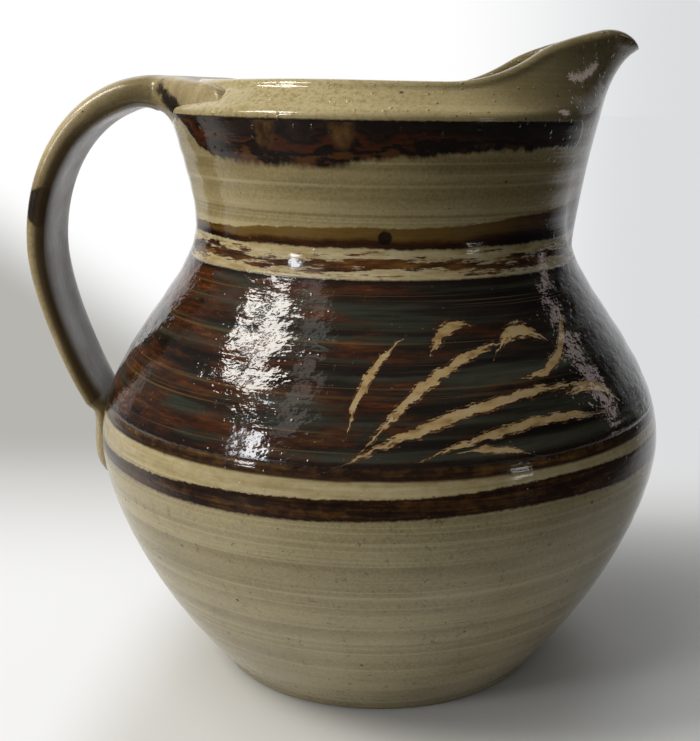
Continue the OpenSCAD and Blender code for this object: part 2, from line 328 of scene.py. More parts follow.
@dataclass
class SpoutShape:
    """How the beak is drawn out of the thrown wall."""

    wall: ThrownWall
    root_z: float = 166.0
    reach: float = 96.0
    tip_z: float = 243.0
    dip: float = 6.5
    dip_half_w: float = 22.0
    half_w: float = 45.0
    root_half_w: float = 20.0
    thick: float = 4.6
    half_angle: float = 73.0
    root_half_angle: float = 14.0
    # Half the spin's columns that lie on the spout, as an angle of the untouched wall
    share_angle: float = 72.0
    gather_z: float = 120.0
    front_steps: int = 80
    levels: dict[tuple[Side, float], Level] = field(default_factory=dict)

    @cached_property
    def front(self) -> Table:
        """Reach of the spout's outside over the height, in its middle."""
        curve, steps = self._front(), self.front_steps
        return Table.out_over_height([curve.at(i / steps) for i in range(steps + 1)])

    @cached_property
    def front_in(self) -> Table:
        """Reach of the spout's inside over the height, in its middle."""
        curve, steps = self._front(), self.front_steps
        return Table.out_over_height(
            [curve.inside(i / steps, mix(self.wall.thick, self.thick, i / steps))
             for i in range(steps + 1)])

    def _front(self) -> Curve:
        """Side view of the front of the spout."""
        start = Vector((self.wall.outer.at(self.root_z), self.root_z))
        tip = Vector((self.reach, self.tip_z - self.wall.rim_t / 2))
        run = tip - start
        return Curve(start, start + Vector((run.x * 0.2, run.y * 0.36)),
                     start + Vector((run.x * 0.33, run.y * 0.9)), tip)

    def half_angle_at(self, z: float) -> float:
        """Half angle, in degrees, that the spout's columns take up at a height of the wall."""
        if z < self.root_z:
            return ease(self.share_angle, self.root_half_angle,
                        (z - self.gather_z) / (self.root_z - self.gather_z))
        return mix(self.root_half_angle, self.half_angle,
                   (min(z, self.wall.spring_z) - self.root_z) / (self.wall.spring_z - self.root_z))

    @staticmethod
    def swell(share: float) -> float:
        """Round swelling, 1 in the middle and 0 at a share of one either side."""
        return math.cos(math.pi / 2 * min(1.0, abs(share))) ** 2

    def lip_z(self, u: float) -> float:
        """Height where the round lip springs, over a place u from -1 to 1 across the spout."""
        across = self.wall.rim_r * math.sin(math.radians(self.half_angle * u))
        return (self.wall.spring_z + (self.tip_z + self.dip - self.wall.rim_z) * self.swell(u)
                - self.dip * self.swell(across / self.dip_half_w))

    def level(self, side: Side, z: float) -> Level:
        """Measures of one side of the wall at a height, worked out once for each row.

        Args:
            side: outside or inside of the wall.
            z: height on the untouched wall.

        Returns:
            The measures, in millimetres and degrees.
        """
        if (side, z) not in self.levels:
            wall, inside = self.wall, side is Side.INSIDE
            radius = (wall.inner if inside else wall.outer).at(z)
            share = max(0.0, (z - wall.ridge_z) / (wall.spring_z - wall.ridge_z))
            middle = z + share * (self.lip_z(0) - wall.spring_z)
            rise = (z - self.root_z) / (wall.spring_z - self.root_z)
            width = mix(self.root_half_w, self.half_w, rise) - (self.thick if inside else 0)
            reach = (self.front_in if inside else self.front).at(middle) - radius
            self.levels[side, z] = Level(
                radius, self.half_angle_at(z), share, reach if z >= self.root_z else 0.0, width,
                wall.turns.at(z), (wall.groove_in if inside else wall.groove).at(z))
        return self.levels[side, z]

    def point(self, side: Side, angle: float, z: float) -> Vector:
        """Point on the outside or inside of the wall, with the spout drawn out.

        Args:
            side: outside or inside of the wall.
            angle: angle of the column on the untouched wall, in degrees from +X.
            z: height on the untouched wall.

        Returns:
            The point, in millimetres.
        """
        wall, at = self.wall, self.level(side, z)
        u = angle / self.share_angle
        if abs(u) <= 1:
            turned = at.half * u
        else:
            over = (abs(angle) - self.share_angle) / (180 - self.share_angle)
            turned = math.copysign(mix(at.half, 180, over), angle)
        a = math.radians(turned)
        up, drawn = 0.0, 0.0
        if abs(u) <= 1 and z >= self.root_z:
            up = at.share * (self.lip_z(u) - wall.spring_z)
            drawn = (1 - min(1.0, abs(at.radius * math.sin(a) / at.width)) ** 2) ** 2
        cut = wall.ring_cut(at.groove, at.turns, z, a) * (1 - drawn)
        radius = at.radius + (cut if side is Side.INSIDE else -cut)
        sway = wall.rim_sway(a) * ease(0, 1, at.share)
        return Vector((radius * math.cos(a) + at.reach * drawn, radius * math.sin(a),
                       z + up - sway))

    def place(self, row: Row, angle: float) -> Vector:
        """Point of a row at the angle of a column, in millimetres.

        Args:
            row: the row of the wall.
            angle: angle of the column on the untouched wall, in degrees from +X.

        Returns:
            The point, on the lip on half a turn from the outside to the inside.
        """
        if row.side is Side.LIP:
            a, b = (self.point(side, angle, row.up) for side in (Side.OUTSIDE, Side.INSIDE))
            turn = math.radians(row.turn)
            return ((a + b) / 2 + (a - b) / 2 * math.cos(turn)
                    + Vector((0, 0, self.wall.rim_t / 2 * math.sin(turn))))
        if row.up <= 0 or (row.side is Side.INSIDE and row.up <= self.wall.floor_t):
            a = math.radians(angle)
            return Vector((row.out * math.cos(a), row.out * math.sin(a), row.up))
        return self.point(row.side, angle, row.up)


class Skin:
    """The skin of body and spout as one spun mesh, and the pieces that are parted from it."""

    def __init__(self, shape: SpoutShape) -> None:
        """Spins the outline into a closed skin and draws the spout out of it.

        Args:
            shape: the spout's shape, which holds the thrown wall.
        """
        self.shape = shape
        self.rows = shape.wall.rows(shape.root_z)
        self.step = 360 / shape.wall.columns
        self.edge_column = round(shape.share_angle / self.step)
        self.bm = self._spin()

    def _spin(self) -> bmesh.types.BMesh:
        """Spun and drawn skin, with its row, column and shading direction kept on each point."""
        bm = bmesh.new()
        row_of = bm.verts.layers.int.new("row")
        # Until they are placed, the lip's rows wait away from the rest, and no two rows meet
        waiting_r, apart = 40.0, 0.01
        line = [bm.verts.new((waiting_r + i * apart if r.side is Side.LIP else r.out, 0,
                              r.up + i * apart)) for i, r in enumerate(self.rows)]
        for i, vert in enumerate(line):
            vert[row_of] = i
        edges = [bm.edges.new(pair) for pair in zip(line, line[1:])]
        # A quarter turn is spun and mirrored twice, which is far quicker than a whole turn
        bmesh.ops.spin(bm, geom=line + edges, cent=(0, 0, 0), axis=(0, 0, 1),
                       angle=math.pi / 2, steps=self.shape.wall.columns // 4)
        for axis in ("X", "Y"):
            bmesh.ops.mirror(bm, geom=bm.verts[:] + bm.edges[:] + bm.faces[:], axis=axis,
                             merge_dist=TOUCH)
        bmesh.ops.remove_doubles(bm, verts=bm.verts, dist=TOUCH)
        column_of = bm.verts.layers.int.new("column")
        for vert in bm.verts:
            angle = math.degrees(math.atan2(vert.co.y, vert.co.x)) if vert.co.xy.length > 0.1 else 0
            vert[column_of] = round(angle / self.step)
        for vert in bm.verts:
            vert.co = self.shape.place(self.rows[vert[row_of]], vert[column_of] * self.step)
        bm.normal_update()
        bmesh.ops.recalc_face_normals(bm, faces=bm.faces)
        if bm.calc_volume(signed=True) < 0:
            bmesh.ops.reverse_faces(bm, faces=bm.faces)
        bm.normal_update()
        shade = bm.verts.layers.float_vector.new("shade")
        for vert in bm.verts:
            vert[shade] = vert.normal
        return bm

    def _on_spout(self, verts: list[bmesh.types.BMVert], bm: bmesh.types.BMesh) -> bool:
        """Whether all these points belong to the spout."""
        row_of, column_of = bm.verts.layers.int["row"], bm.verts.layers.int["column"]
        rows = [self.rows[v[row_of]] for v in verts]
        return (all(r.side is Side.LIP or r.up >= self.shape.root_z - 1e-6 for r in rows)
                and all(abs(v[column_of]) <= self.edge_column for v in verts))

    def _sides(self, edge: bmesh.types.BMEdge, row_of: bmesh.types.BMLayerItem) -> set[Side]:
        """Sides of the wall that an edge's two ends lie on."""
        return {self.rows[vert[row_of]].side for vert in edge.verts}

    def part(self, spout: bool) -> bmesh.types.BMesh:
        """One of the two pieces of the skin, closed along the cut.

        Args:
            spout: True for the spout, False for the body that it is cut from.

        Returns:
            The closed piece, whose cut faces carry the value 1 on their layer "cut".
        """
        bm = self.bm.copy()
        bmesh.ops.delete(bm, geom=[f for f in bm.faces if self._on_spout(f.verts, bm) != spout],
                         context="FACES")
        cut = bm.faces.layers.int.new("cut")
        row_of, column_of = bm.verts.layers.int["row"], bm.verts.layers.int["column"]
        open_edges = [e for e in bm.edges if e.is_boundary]
        level = [e for e in open_edges if e.verts[0][row_of] == e.verts[1][row_of]]
        made = bmesh.ops.bridge_loops(bm, edges=level)["faces"]
        for column in (-self.edge_column, self.edge_column):
            upright = [e for e in open_edges if e not in level
                       and all(v[column_of] == column for v in e.verts)
                       and self._sides(e, row_of) in ({Side.OUTSIDE}, {Side.INSIDE})]
            made += bmesh.ops.bridge_loops(bm, edges=upright)["faces"]
        left = [e for e in bm.edges if e.is_boundary]
        made += bmesh.ops.holes_fill(bm, edges=left, sides=0)["faces"]
        for face in made:
            face[cut] = 1
        bmesh.ops.recalc_face_normals(bm, faces=bm.faces)
        return bm


def finish_piece(bm: bmesh.types.BMesh, name: str) -> bpy.types.Object:
    """Scales a closed mesh to metres and makes it an object at the origin.

    Args:
        bm: the mesh in millimetres; it is freed. Layers "shade" on its points and "cut" on its
            faces, where it has them, hold the shading directions along a cut.
        name: name of the piece.

    Returns:
        The linked object, smooth all over.
    """
    bmesh.ops.scale(bm, vec=(MM, MM, MM), verts=bm.verts)
    for face in bm.faces:
        face.smooth = True
    mesh = bpy.data.meshes.new(name)
    bm.to_mesh(mesh)
    bm.free()
    if "shade" in mesh.attributes:
        shade = [v.vector.copy() for v in mesh.attributes["shade"].data]
        cut = [c.value for c in mesh.attributes["cut"].data]
        ways = []
        for face in mesh.polygons:
            ways += [face.normal.copy() if cut[face.index] else shade[v] for v in face.vertices]
        mesh.normals_split_custom_set(ways)
    for left in ("shade", "cut", "row", "column"):
        if left in mesh.attributes:
            mesh.attributes.remove(mesh.attributes[left])
    piece = bpy.data.objects.new(name, mesh)
    bpy.context.scene.collection.objects.link(piece)
    return piece


def linear(code: str) -> tuple[float, float, float, float]:
    """Linear colour of an sRGB hex value such as "#8f8462"."""
    parts = [int(code[i:i + 2], 16) / 255 for i in (1, 3, 5)]
    return (*[c / 12.92 if c <= 0.04045 else ((c + 0.055) / 1.055) ** 2.4 for c in parts], 1.0)


# Sockets of a Mix node that mixes colours: the share of the upper one, both colours, the result
SHARE, UNDER, OVER, MIXED = 0, 6, 7, 2
# Setting of a MapRange node whose values start and end softly
SOFT = {"interpolation_type": "SMOOTHSTEP"}


class Bench:
    """One node tree: a new material's, or one that is given."""

    def __init__(self, name: str = "", tree: bpy.types.NodeTree | None = None) -> None:
        """Takes the tree, or makes a material with its Principled shader.

        Args:
            name: name of the new material.
            tree: tree to work on instead, such as the world's.
        """
        self.tree = tree
        if tree is None:
            self.material = bpy.data.materials.new(name)
            self.material.use_nodes = True
            self.tree = self.material.node_tree
            self.shader = self.tree.nodes["Principled BSDF"]

    def add(self, kind: str, inputs: object = (), out: int = 0,
            **settings: object) -> bpy.types.NodeSocket:
        """Adds a node with its settings and links.

        Args:
            kind: name of the node's type, without its first part "ShaderNode".
            inputs: values or sockets for the inputs, in order or by index or name; a text is a hex
                colour, and None leaves an input as it is.
            out: index of the output to give back.
            settings: properties of the node; stops fills a colour ramp and bends a curve.

        Returns:
            One output of the new node.
        """
        node = self.tree.nodes.new("ShaderNode" + kind)
        for name, value in settings.items():
            if name == "stops":
                elements = node.color_ramp.elements
                elements[0].position, elements[0].color = value[0][0], linear(value[0][1])
                elements[1].position, elements[1].color = value[-1][0], linear(value[-1][1])
                for place, code in value[1:-1]:
                    elements.new(place).color = linear(code)
            elif name == "bends":
                curve = node.mapping.curves[0]
                curve.points[0].location, curve.points[1].location = value[0], value[-1]
                for place in value[1:-1]:
                    curve.points.new(*place)
                node.mapping.update()
            else:
                setattr(node, name, value)
        for key, value in inputs.items() if isinstance(inputs, dict) else enumerate(inputs):
            if isinstance(value, bpy.types.NodeSocket):
                self.tree.links.new(value, node.inputs[key])
            elif value is not None:
                node.inputs[key].default_value = linear(value) if isinstance(value, str) else value
        return node.outputs[out]


class Brush(Bench):
    """A material's tree with coordinates in millimetres and round the pot, and painter's masks."""

    def __init__(self, name: str) -> None:
        """Makes the tree and its coordinates from the object's own.

        Args:
            name: name of the material.
        """
        super().__init__(name)
        metres = self.add("TexCoord", out=3)
        self.place = self.add("VectorMath", (metres, (1000.0,) * 3), operation="MULTIPLY")
        self.x, self.y, self.z = self.add("SeparateXYZ", (self.place,)).node.outputs
        front = self.add("Math", (self.y, -1.0), operation="MULTIPLY")
        # Angle round the pot: 0 at the front, rising towards the spout
        self.round = self.add("Math", (self.x, front), operation="ARCTAN2")
        self.share = self.add("MapRange", (self.round, -math.pi, math.pi, 0.0, 1.0))

    def cloud(self, across: float, tall: float, shift: float, detail: float = 3.0,
              rough: float = 0.55) -> bpy.types.NodeSocket:
        """Soft noise whose blots have a real size.

        Args:
            across: width of a blot, in millimetres.
            tall: height of a blot, in millimetres.
            shift: moves the pattern, so that no two clouds agree.
            detail: how many finer layers it has.
            rough: how strong these are.

        Returns:
            A value from 0 to 1, about a half in the mean.
        """
        spot = self.add("VectorMath", (self.place, (1 / across, 1 / across, 1 / tall),
                                       (shift, 1.7 * shift, 0.6 * shift)), operation="MULTIPLY_ADD")
        return self.add("TexNoise", {"Vector": spot, "Scale": 1.0, "Detail": detail,
                                     "Roughness": rough})

    def stray(self, swing: float, across: float, tall: float, shift: float, detail: float = 3.0,
              rough: float = 0.55) -> bpy.types.NodeSocket:
        """How far a hand-painted edge strays to either side.

        Args:
            swing: distance between its furthest places, in millimetres.
            across: width of one stray, in millimetres.
            tall: height of one stray, in millimetres.
            shift: moves the pattern.
            detail: how many finer layers it has.
            rough: how strong these are.

        Returns:
            A value about 0 in the mean, in millimetres.
        """
        return self.add("Math", (self.cloud(across, tall, shift, detail, rough), swing, -swing / 2),
                        operation="MULTIPLY_ADD")

    def dots(self, cell: float, least: float, most: float, share: float, shift: float,
             soft: float = 0.35) -> bpy.types.NodeSocket:
        """Scattered round dots of mixed sizes.

        Args:
            cell: mean distance between dots, in millimetres.
            least: radius of the smallest dot, in millimetres.
            most: radius of the largest dot, in millimetres.
            share: share of the cells that have a dot.
            shift: moves the pattern.
            soft: width of a dot's edge, as a share of the smallest radius.

        Returns:
            A mask, 1 in the dots.
        """
        spot = self.add("VectorMath", (self.place, (1 / cell,) * 3, (shift, shift, -shift)),
                        operation="MULTIPLY_ADD")
        far = self.add("TexVoronoi", {"Vector": spot, "Scale": 1.0, "Randomness": 0.9})
        pick = self.add("SeparateColor", (far.node.outputs[1],))
        size = self.add("MapRange", (pick, 1 - share, 1.0, least / cell, most / cell))
        there = self.add("Math", (pick, 1 - share), operation="GREATER_THAN")
        inner = self.add("Math", (size, far), operation="SUBTRACT")
        mask = self.add("MapRange", (inner, 0.0, soft * least / cell, 0.0, 1.0))
        return self.add("Math", (mask, there), operation="MULTIPLY")

    def edge_round(self, low: float, span: float, points: Edge) -> bpy.types.NodeSocket:
        """Height of a hand-painted edge round the pot.

        Args:
            low: height that the edge never goes under, in millimetres.
            span: height over that which it never exceeds.
            points: (angle in degrees, height) that the edge runs through; both ends agree.

        Returns:
            The height at every angle, in millimetres.
        """
        curve = self.add("FloatCurve", {1: self.share},
                         bends=[((a + 180) / 360, (h - low) / span) for a, h in points])
        return self.add("Math", (curve, span, low), operation="MULTIPLY_ADD")

    def band(self, height: bpy.types.NodeSocket, low: float, high: float, soft: float,
             soft_high: float | None = None) -> bpy.types.NodeSocket:
        """Mask of a band between two heights with soft edges, all in millimetres."""
        top = soft if soft_high is None else soft_high
        over = self.add("MapRange", (height, low - soft, low + soft, 0.0, 1.0), **SOFT)
        under = self.add("MapRange", (height, high - top, high + top, 1.0, 0.0), **SOFT)
        return self.add("Math", (over, under), operation="MULTIPLY")

    def finish(self, colour: bpy.types.NodeSocket, rough: bpy.types.NodeSocket,
               relief: bpy.types.NodeSocket) -> bpy.types.Material:
        """Links colour, roughness and relief in millimetres to the shader.

        Args:
            colour: colour of the surface.
            rough: roughness of the glaze.
            relief: height of the surface, in millimetres.

        Returns:
            The material.
        """
        for name, socket in (("Base Color", colour), ("Roughness", rough)):
            self.tree.links.new(socket, self.shader.inputs[name])
        bump = self.add("Bump", {"Strength": 1.0, "Distance": MM, "Height": relief})
        self.tree.links.new(bump, self.shader.inputs["Normal"])
        # Glass-like glaze: 1.5 is usual for a fired feldspar or ash glaze
        self.shader.inputs["IOR"].default_value = 1.5
        return self.material


@dataclass(frozen=True)
class Stroke:
    """One scratched stroke: its middle, turn, half sizes and rise of its bow, in millimetres."""

    across: float
    up: float
    turn: float
    half_l: float
    half_w: float
    bow: float


@dataclass(frozen=True)
class GrassSpray:
    """A plain spray of grass, scratched through the dark glaze in front and behind."""

    middle: float = 18.0
    height: float = 132.0
    radius: float = 95.0
    sway: float = 1.8
    sway_size: float = 6.25
    bristles: float = 2.3
    bristle_gap: float = 0.7
    strokes: tuple[Stroke, ...] = (
        Stroke(0, -7, 12, 52, 2.2, 9.0), Stroke(-13, 2, 30, 34, 2.0, 8.0),
        Stroke(16, -13, 4, 40, 1.9, 7.0), Stroke(-35, 2, 58, 18, 1.7, 5.0),
        Stroke(38, 5, 30, 22, 2.0, -7.0), Stroke(23, 14, 4, 14, 3.0, 6.0),
        Stroke(48, -6, -14, 15, 2.6, 5.0), Stroke(-6, 16, 24, 10, 2.4, 4.0),
        Stroke(4, -19, -8, 14, 1.5, 2.5))

    def cover(self, brush: Brush) -> bpy.types.NodeSocket:
        """How much of the pale clay shows through.

        Args:
            brush: tree to paint with.

        Returns:
            A value that is over 0 inside the strokes, up to 1 on their middle lines.
        """
        add = brush.add
        turned = add("Math", (brush.round, math.radians(-self.middle)), operation="ADD")
        # Angles wrap at half a turn, so that the spray stands in front and again behind
        half = math.pi / 2
        local = add("Math", (turned, half, -half), operation="WRAP")
        spot = add("VectorMath", (brush.place, (1 / self.sway_size,) * 3), operation="MULTIPLY")
        shift = add("TexNoise", {"Vector": spot, "Scale": 1.0, "Detail": 4.0, "Roughness": 0.65}, 1)
        red, green, _ = add("SeparateColor", (shift,)).node.outputs
        sway = add("Math", (red, 2 * self.sway, -self.sway), operation="MULTIPLY_ADD")
        across = add("Math", (local, self.radius, sway), operation="MULTIPLY_ADD")
        sway = add("Math", (green, 2 * self.sway, -self.sway - self.height),
                   operation="MULTIPLY_ADD")
        up = add("Math", (brush.z, sway), operation="ADD")
        sheet = add("CombineXYZ", (across, up, 0.0))
        cover = None
        for stroke in self.strokes:
            spot = add("Mapping", (sheet, (stroke.across, stroke.up, 0.0),
                                   (0.0, 0.0, math.radians(stroke.turn)),
                                   (stroke.half_l, stroke.half_w, 1.0)), vector_type="TEXTURE")
            u, v, _ = add("SeparateXYZ", (spot,)).node.outputs
            square = add("Math", (u, u), operation="MULTIPLY")
            bowed = add("Math", (square, stroke.bow / stroke.half_w, v), operation="MULTIPLY_ADD")
            wide = add("Math", (bowed,), operation="ABSOLUTE")
            inside = add("Math", (1.0, add("Math", (square, wide), operation="ADD")),
                         operation="SUBTRACT")
            # The brush's bristles part into lines along the stroke
            hair = add("Math", (bowed, self.bristles), operation="MULTIPLY")
            hair = add("Math", (hair, 0.5), operation="PINGPONG")
            inside = add("Math", (hair, -self.bristle_gap, inside), operation="MULTIPLY_ADD")
            cover = inside if cover is None else add("Math", (cover, inside), operation="MAXIMUM")
        return cover


@dataclass(frozen=True)
class IronPaintedGlaze:
    """Ash glaze over iron brushwork on grey stoneware, fired in reduction.

    The clay's iron bleeds through the pale glaze as specks, the brushed iron goes near black
    where it is thick and breaks to rust and gold where it is thin, and the whole is glossy.
    Heights and places are in millimetres and angles in degrees from the front.
    """

    name: str = "ash_glaze_over_iron_brushwork"
    # Radius at which an angle round the neck is turned into a length
    neck_r: float = 80.0
    # The bare glaze, more olive above the shoulder, pale on the collar with painted light, and
    # painted shade on the spout
    pale: Ramp = ((0.32, "#7a7052"), (0.46, "#8b7f5d"), (0.60, "#998d6a"), (0.76, "#a89c77"))
    olive: Ramp = ((0.32, "#6b5e3f"), (0.46, "#7f714c"), (0.60, "#8f815a"), (0.76, "#a0926a"))
    olive_z: Span = (165.0, 185.0)
    flecks: Ramp = ((0.34, "#8a7446"), (0.46, "#a3956b"), (0.58, "#b3a67f"))
    collar_z: Span = (213.0, 222.0)
    # Painted shade on the spout: its colour, and the heights over which it darkens
    spout_shade: str = "#4f452b"
    spout_shade_z: Span = (230.0, 250.0)
    speck: str = "#33261a"
    stain: str = "#4d3d22"
    stain_x: Span = (45.0, 82.0)
    grit_z: Span = (205.0, 216.0)
    # The brown line under the belly's stripe, and the golden one above it
    brown: Ramp = ((0.40, "#150c07"), (0.48, "#26160b"), (0.56, "#3f2710"), (0.70, "#654822"))
    brown_rim: str = "#2a180c"
    brown_foot: Edge = ((-180, 92.0), (-61, 91.8), (-32, 91.2), (6, 92.8), (26, 93.6), (60, 91.8),
                        (130, 92.6), (180, 92.0))
    brown_top: Edge = ((-180, 98.0), (-59, 96.6), (-25, 98.7), (6, 100.0), (33, 101.8), (64, 100.4),
                       (130, 99.0), (180, 98.0))
    golden: Ramp = ((0.40, "#20130a"), (0.48, "#332111"), (0.57, "#4e3617"), (0.70, "#735527"))
    golden_z: Span = (104.6, 109.5)
    golden_rim: str = "#2b1a0d"
    golden_rim_z: Span = (103.0, 105.5)
    stripe: Ramp = ((0.38, "#8f7d55"), (0.50, "#a3946d"), (0.62, "#b2a680"))
    stripe_z: Span = (98.5, 104.8)
    # The dark shoulder, near black to green where the iron is thick, with rust where it is thin
    dark: Ramp = ((0.36, "#110e0c"), (0.47, "#1d1711"), (0.55, "#292b22"), (0.68, "#3a392f"))
    dark_z: Span = (108.8, 163.0)
    rust: Ramp = ((0.34, "#170d08"), (0.47, "#361a0b"), (0.60, "#4c2810"), (0.76, "#6b4820"))
    rust_side: float = -65.0
    hair: str = "#5d4726"
    spark: str = "#86683a"
    fringe: str = "#4a2a12"
    clay: Ramp = ((0.3, "#7a6038"), (0.5, "#a38a5e"), (0.7, "#a89570"))
    closing: str = "#1c110b"
    closing_z: Span = (110.4, 161.4)
    # The pale zone above it, with what the dry brush left there
    cream: Ramp = ((0.36, "#8b7446"), (0.5, "#a5956c"), (0.64, "#b5a884"))
    cream_z: Span = (163.2, 173.0)
    left: Ramp = ((0.35, "#24150c"), (0.55, "#4b2d13"), (0.7, "#6f4c20"))
    left_z: Span = (163.6, 172.4)
    left_middle_z: float = 163.4
    # The band round the neck, dark at its foot, and its one blot
    neck: Ramp = ((0.25, "#120a07"), (0.42, "#28150a"), (0.58, "#3d2510"), (0.78, "#5a411b"),
                  (1.0, "#6c5526"))
    neck_foot_z: float = 172.6
    neck_top: Edge = ((-180, 180.0), (-110, 177.5), (-63, 176.8), (-22, 179.2), (18, 180.3),
                      (51, 183.0), (90, 184.5), (130, 182.5), (180, 180.0))
    blot: str = "#120c08"
    blot_place: tuple[float, float, float] = (0.4, -72.2, 176.4)
    blot_r: Span = (2.4, 3.3)
    # The band under the ridge, from its foot up, with two narrow gaps
    ink: Ramp = ((0.0, "#4d2f14"), (0.12, "#1c0f08"), (0.26, "#0f0b08"), (0.38, "#43200d"),
                 (0.58, "#30170b"), (0.74, "#130d0a"), (0.90, "#2a1c13"), (1.0, "#1c130e"))
    # Near black that is painted over the band's right side as painted shade
    ink_painted_shade: str = "#120e0b"
    ink_thin: Ramp = ((0.35, "#33200f"), (0.62, "#694c28"))
    ink_foot: Edge = ((-180, 203.0), (-132, 203.5), (-120, 212.0), (-66, 212.0), (-58, 206.5),
                      (-51, 201.5), (-40, 199.6), (-30, 198.8), (0, 201.8), (21, 204.0),
                      (52, 205.1), (120, 204.6), (180, 203.0))
    ink_top_z: float = 214.3
    ink_middle_z: float = 209.5
    ink_end: Span = (39.0, 40.5)
    gap_angles: tuple[float, ...] = (-29.5, -9.8)
    gap_edge: Span = (4.8, 8.6)

    def build(self) -> bpy.types.Material:
        """The finished material."""
        brush = Brush(self.name)
        add = brush.add
        # Every painted edge wanders by a millimetre or two and is ragged on a finer scale
        wander = brush.stray(3.0, 26, 26, 3.0)
        ragged = brush.stray(1.4, 2.2, 2.2, 9.0, 4.0, 0.7)
        both = add("Math", (wander, ragged), operation="ADD")
        height = add("Math", (brush.z, both), operation="ADD")
        crest = self.crest(brush)
        colour, rough, relief = self.wall(brush, crest)
        colour, relief = self.low_bands(brush, colour, relief)
        colour, relief = self.shoulder(brush, crest, colour, relief)
        colour, relief = self.resist(brush, height, colour, relief)
        colour, relief = self.neck_band(brush, colour, relief)
        colour, relief = self.top_band(brush, colour, relief)
        return brush.finish(colour, rough, relief)

    def crest(self, brush: Brush) -> bpy.types.NodeSocket:
        """1 on the crests of the throwing spiral and 0 in its grooves, as in the mesh."""
        add = brush.add
        turns = add("MapRange", (brush.z, 0.0, 100.0, 0.0, 11.0))
        for low, high in ((100.0, 165.0), (165.0, 214.0)):
            more = add("MapRange", (brush.z, low, high, 0.0, 6.0))
            turns = add("Math", (turns, more), operation="ADD")
        around = add("Math", (brush.y, brush.x), operation="ARCTAN2")
        phase = add("Math", (turns, 2 * math.pi), operation="MULTIPLY")
        phase = add("Math", (phase, around), operation="SUBTRACT")
        wave = add("Math", (phase,), operation="COSINE")
        return add("Math", (wave, 0.5, 0.5), operation="MULTIPLY_ADD")

    def wall(self, brush: Brush, crest: bpy.types.NodeSocket) -> tuple[bpy.types.NodeSocket, ...]:
        """The pale glaze with its clouds, turning streaks and iron specks.

        Args:
            brush: tree to paint with.
            crest: crests of the throwing spiral.

        Returns:
            Colour, roughness and relief.
        """
        add = brush.add
        clouds, streaks = brush.cloud(48, 30, 1.0, 2.0), brush.cloud(120, 4.0, 5.0, 3.0, 0.55)
        tone = add("Math", (streaks, 0.45), operation="MULTIPLY")
        tone = add("Math", (clouds, 0.55, tone), operation="MULTIPLY_ADD")
        tone = add("Math", (crest, 0.10, tone), operation="MULTIPLY_ADD")
        grain = brush.cloud(1.1, 1.1, 13.0, 2.0, 0.7)
        tone = add("Math", (add("Math", (grain, -0.5), operation="ADD"), 0.42, tone),
                   operation="MULTIPLY_ADD")
        # The rib left fine pale lines round the pot, some millimetres apart
        lines = add("MapRange", (brush.cloud(400, 1.6, 15.0, 1.0), 0.57, 0.66, 0.0, 0.16))
        tone = add("Math", (tone, lines), operation="ADD")
        colour = add("ValToRGB", (tone,), stops=self.pale)
        # The glaze lies thicker and more olive above the shoulder
        olive = add("ValToRGB", (tone,), stops=self.olive)
        upper = add("MapRange", (brush.z, *self.olive_z, 0.0, 1.0))
        colour = add("Mix", {SHARE: upper, UNDER: colour, OVER: olive}, MIXED, data_type="RGBA")
        # and thin and pale on the collar, where it ran down; this paleness is also painted light,
        # strongest on the handle's side, from which the lamps shine, and fading towards the spout
        collar = add("Math", (brush.cloud(5, 4, 14.0, 3.0), 8.0, brush.z), operation="MULTIPLY_ADD")
        collar = add("MapRange", (collar, *self.collar_z, 0.0, 0.7))
        # Painted light: the collar is painted paler on its side towards the handle, where the lamps
        # shine
        behind = add("MapRange", (brush.x, -20.0, 45.0, 1.0, 0.1))
        collar = add("Math", (collar, behind), operation="MULTIPLY")
        flecks = add("ValToRGB", (brush.cloud(1.6, 1.3, 19.0, 4.0, 0.7),), stops=self.flecks)
        colour = add("Mix", {SHARE: collar, UNDER: colour, OVER: flecks}, MIXED, data_type="RGBA")
        # The spout is painted darker towards its tip, as painted shade on the side away from the
        # lamps
        spout_shade = add("Math", (brush.x, 0.5, brush.z), operation="MULTIPLY_ADD")
        spout_shade = add("MapRange", (spout_shade, *self.spout_shade_z, 0.0, 0.62), **SOFT)
        colour = add("Mix", {SHARE: spout_shade, UNDER: colour, OVER: self.spout_shade},
                     MIXED, data_type="RGBA")
        specks = brush.dots(6.0, 0.25, 0.75, 0.5, 2.0)
        fine = add("Math", (brush.dots(2.4, 0.16, 0.34, 0.5, 6.0), 0.55), operation="MULTIPLY")
        specks = add("Math", (specks, fine), operation="MAXIMUM")
        specks = add("Math", (specks, 0.8), operation="MULTIPLY")
        colour = add("Mix", {SHARE: specks, UNDER: colour, OVER: self.speck},
                     MIXED, data_type="RGBA")
        # Where it is thin, on the spout above all, the iron stains it in small brown clouds
        stain = add("MapRange", (brush.x, *self.stain_x, -0.08, 0.09))
        clouds = brush.cloud(3.2, 3.2, 18.0, 5.0, 0.75)
        stain = add("Math", (stain, upper), operation="MULTIPLY")
        stain = add("Math", (clouds, stain), operation="ADD")
        stain = add("MapRange", (stain, 0.56, 0.72, 0.0, 0.6), **SOFT)
        colour = add("Mix", {SHARE: stain, UNDER: colour, OVER: self.stain},
                     MIXED, data_type="RGBA")
        rough = add("MapRange", (brush.cloud(14, 8, 17.0), 0.3, 0.7, 0.05, 0.14))
        # Orange peel of the glaze, fine turning lines and pinholes
        relief = add("Math", (brush.cloud(3.4, 2.6, 21.0, 2.0), 0.07, 0.0),
                     operation="MULTIPLY_ADD")
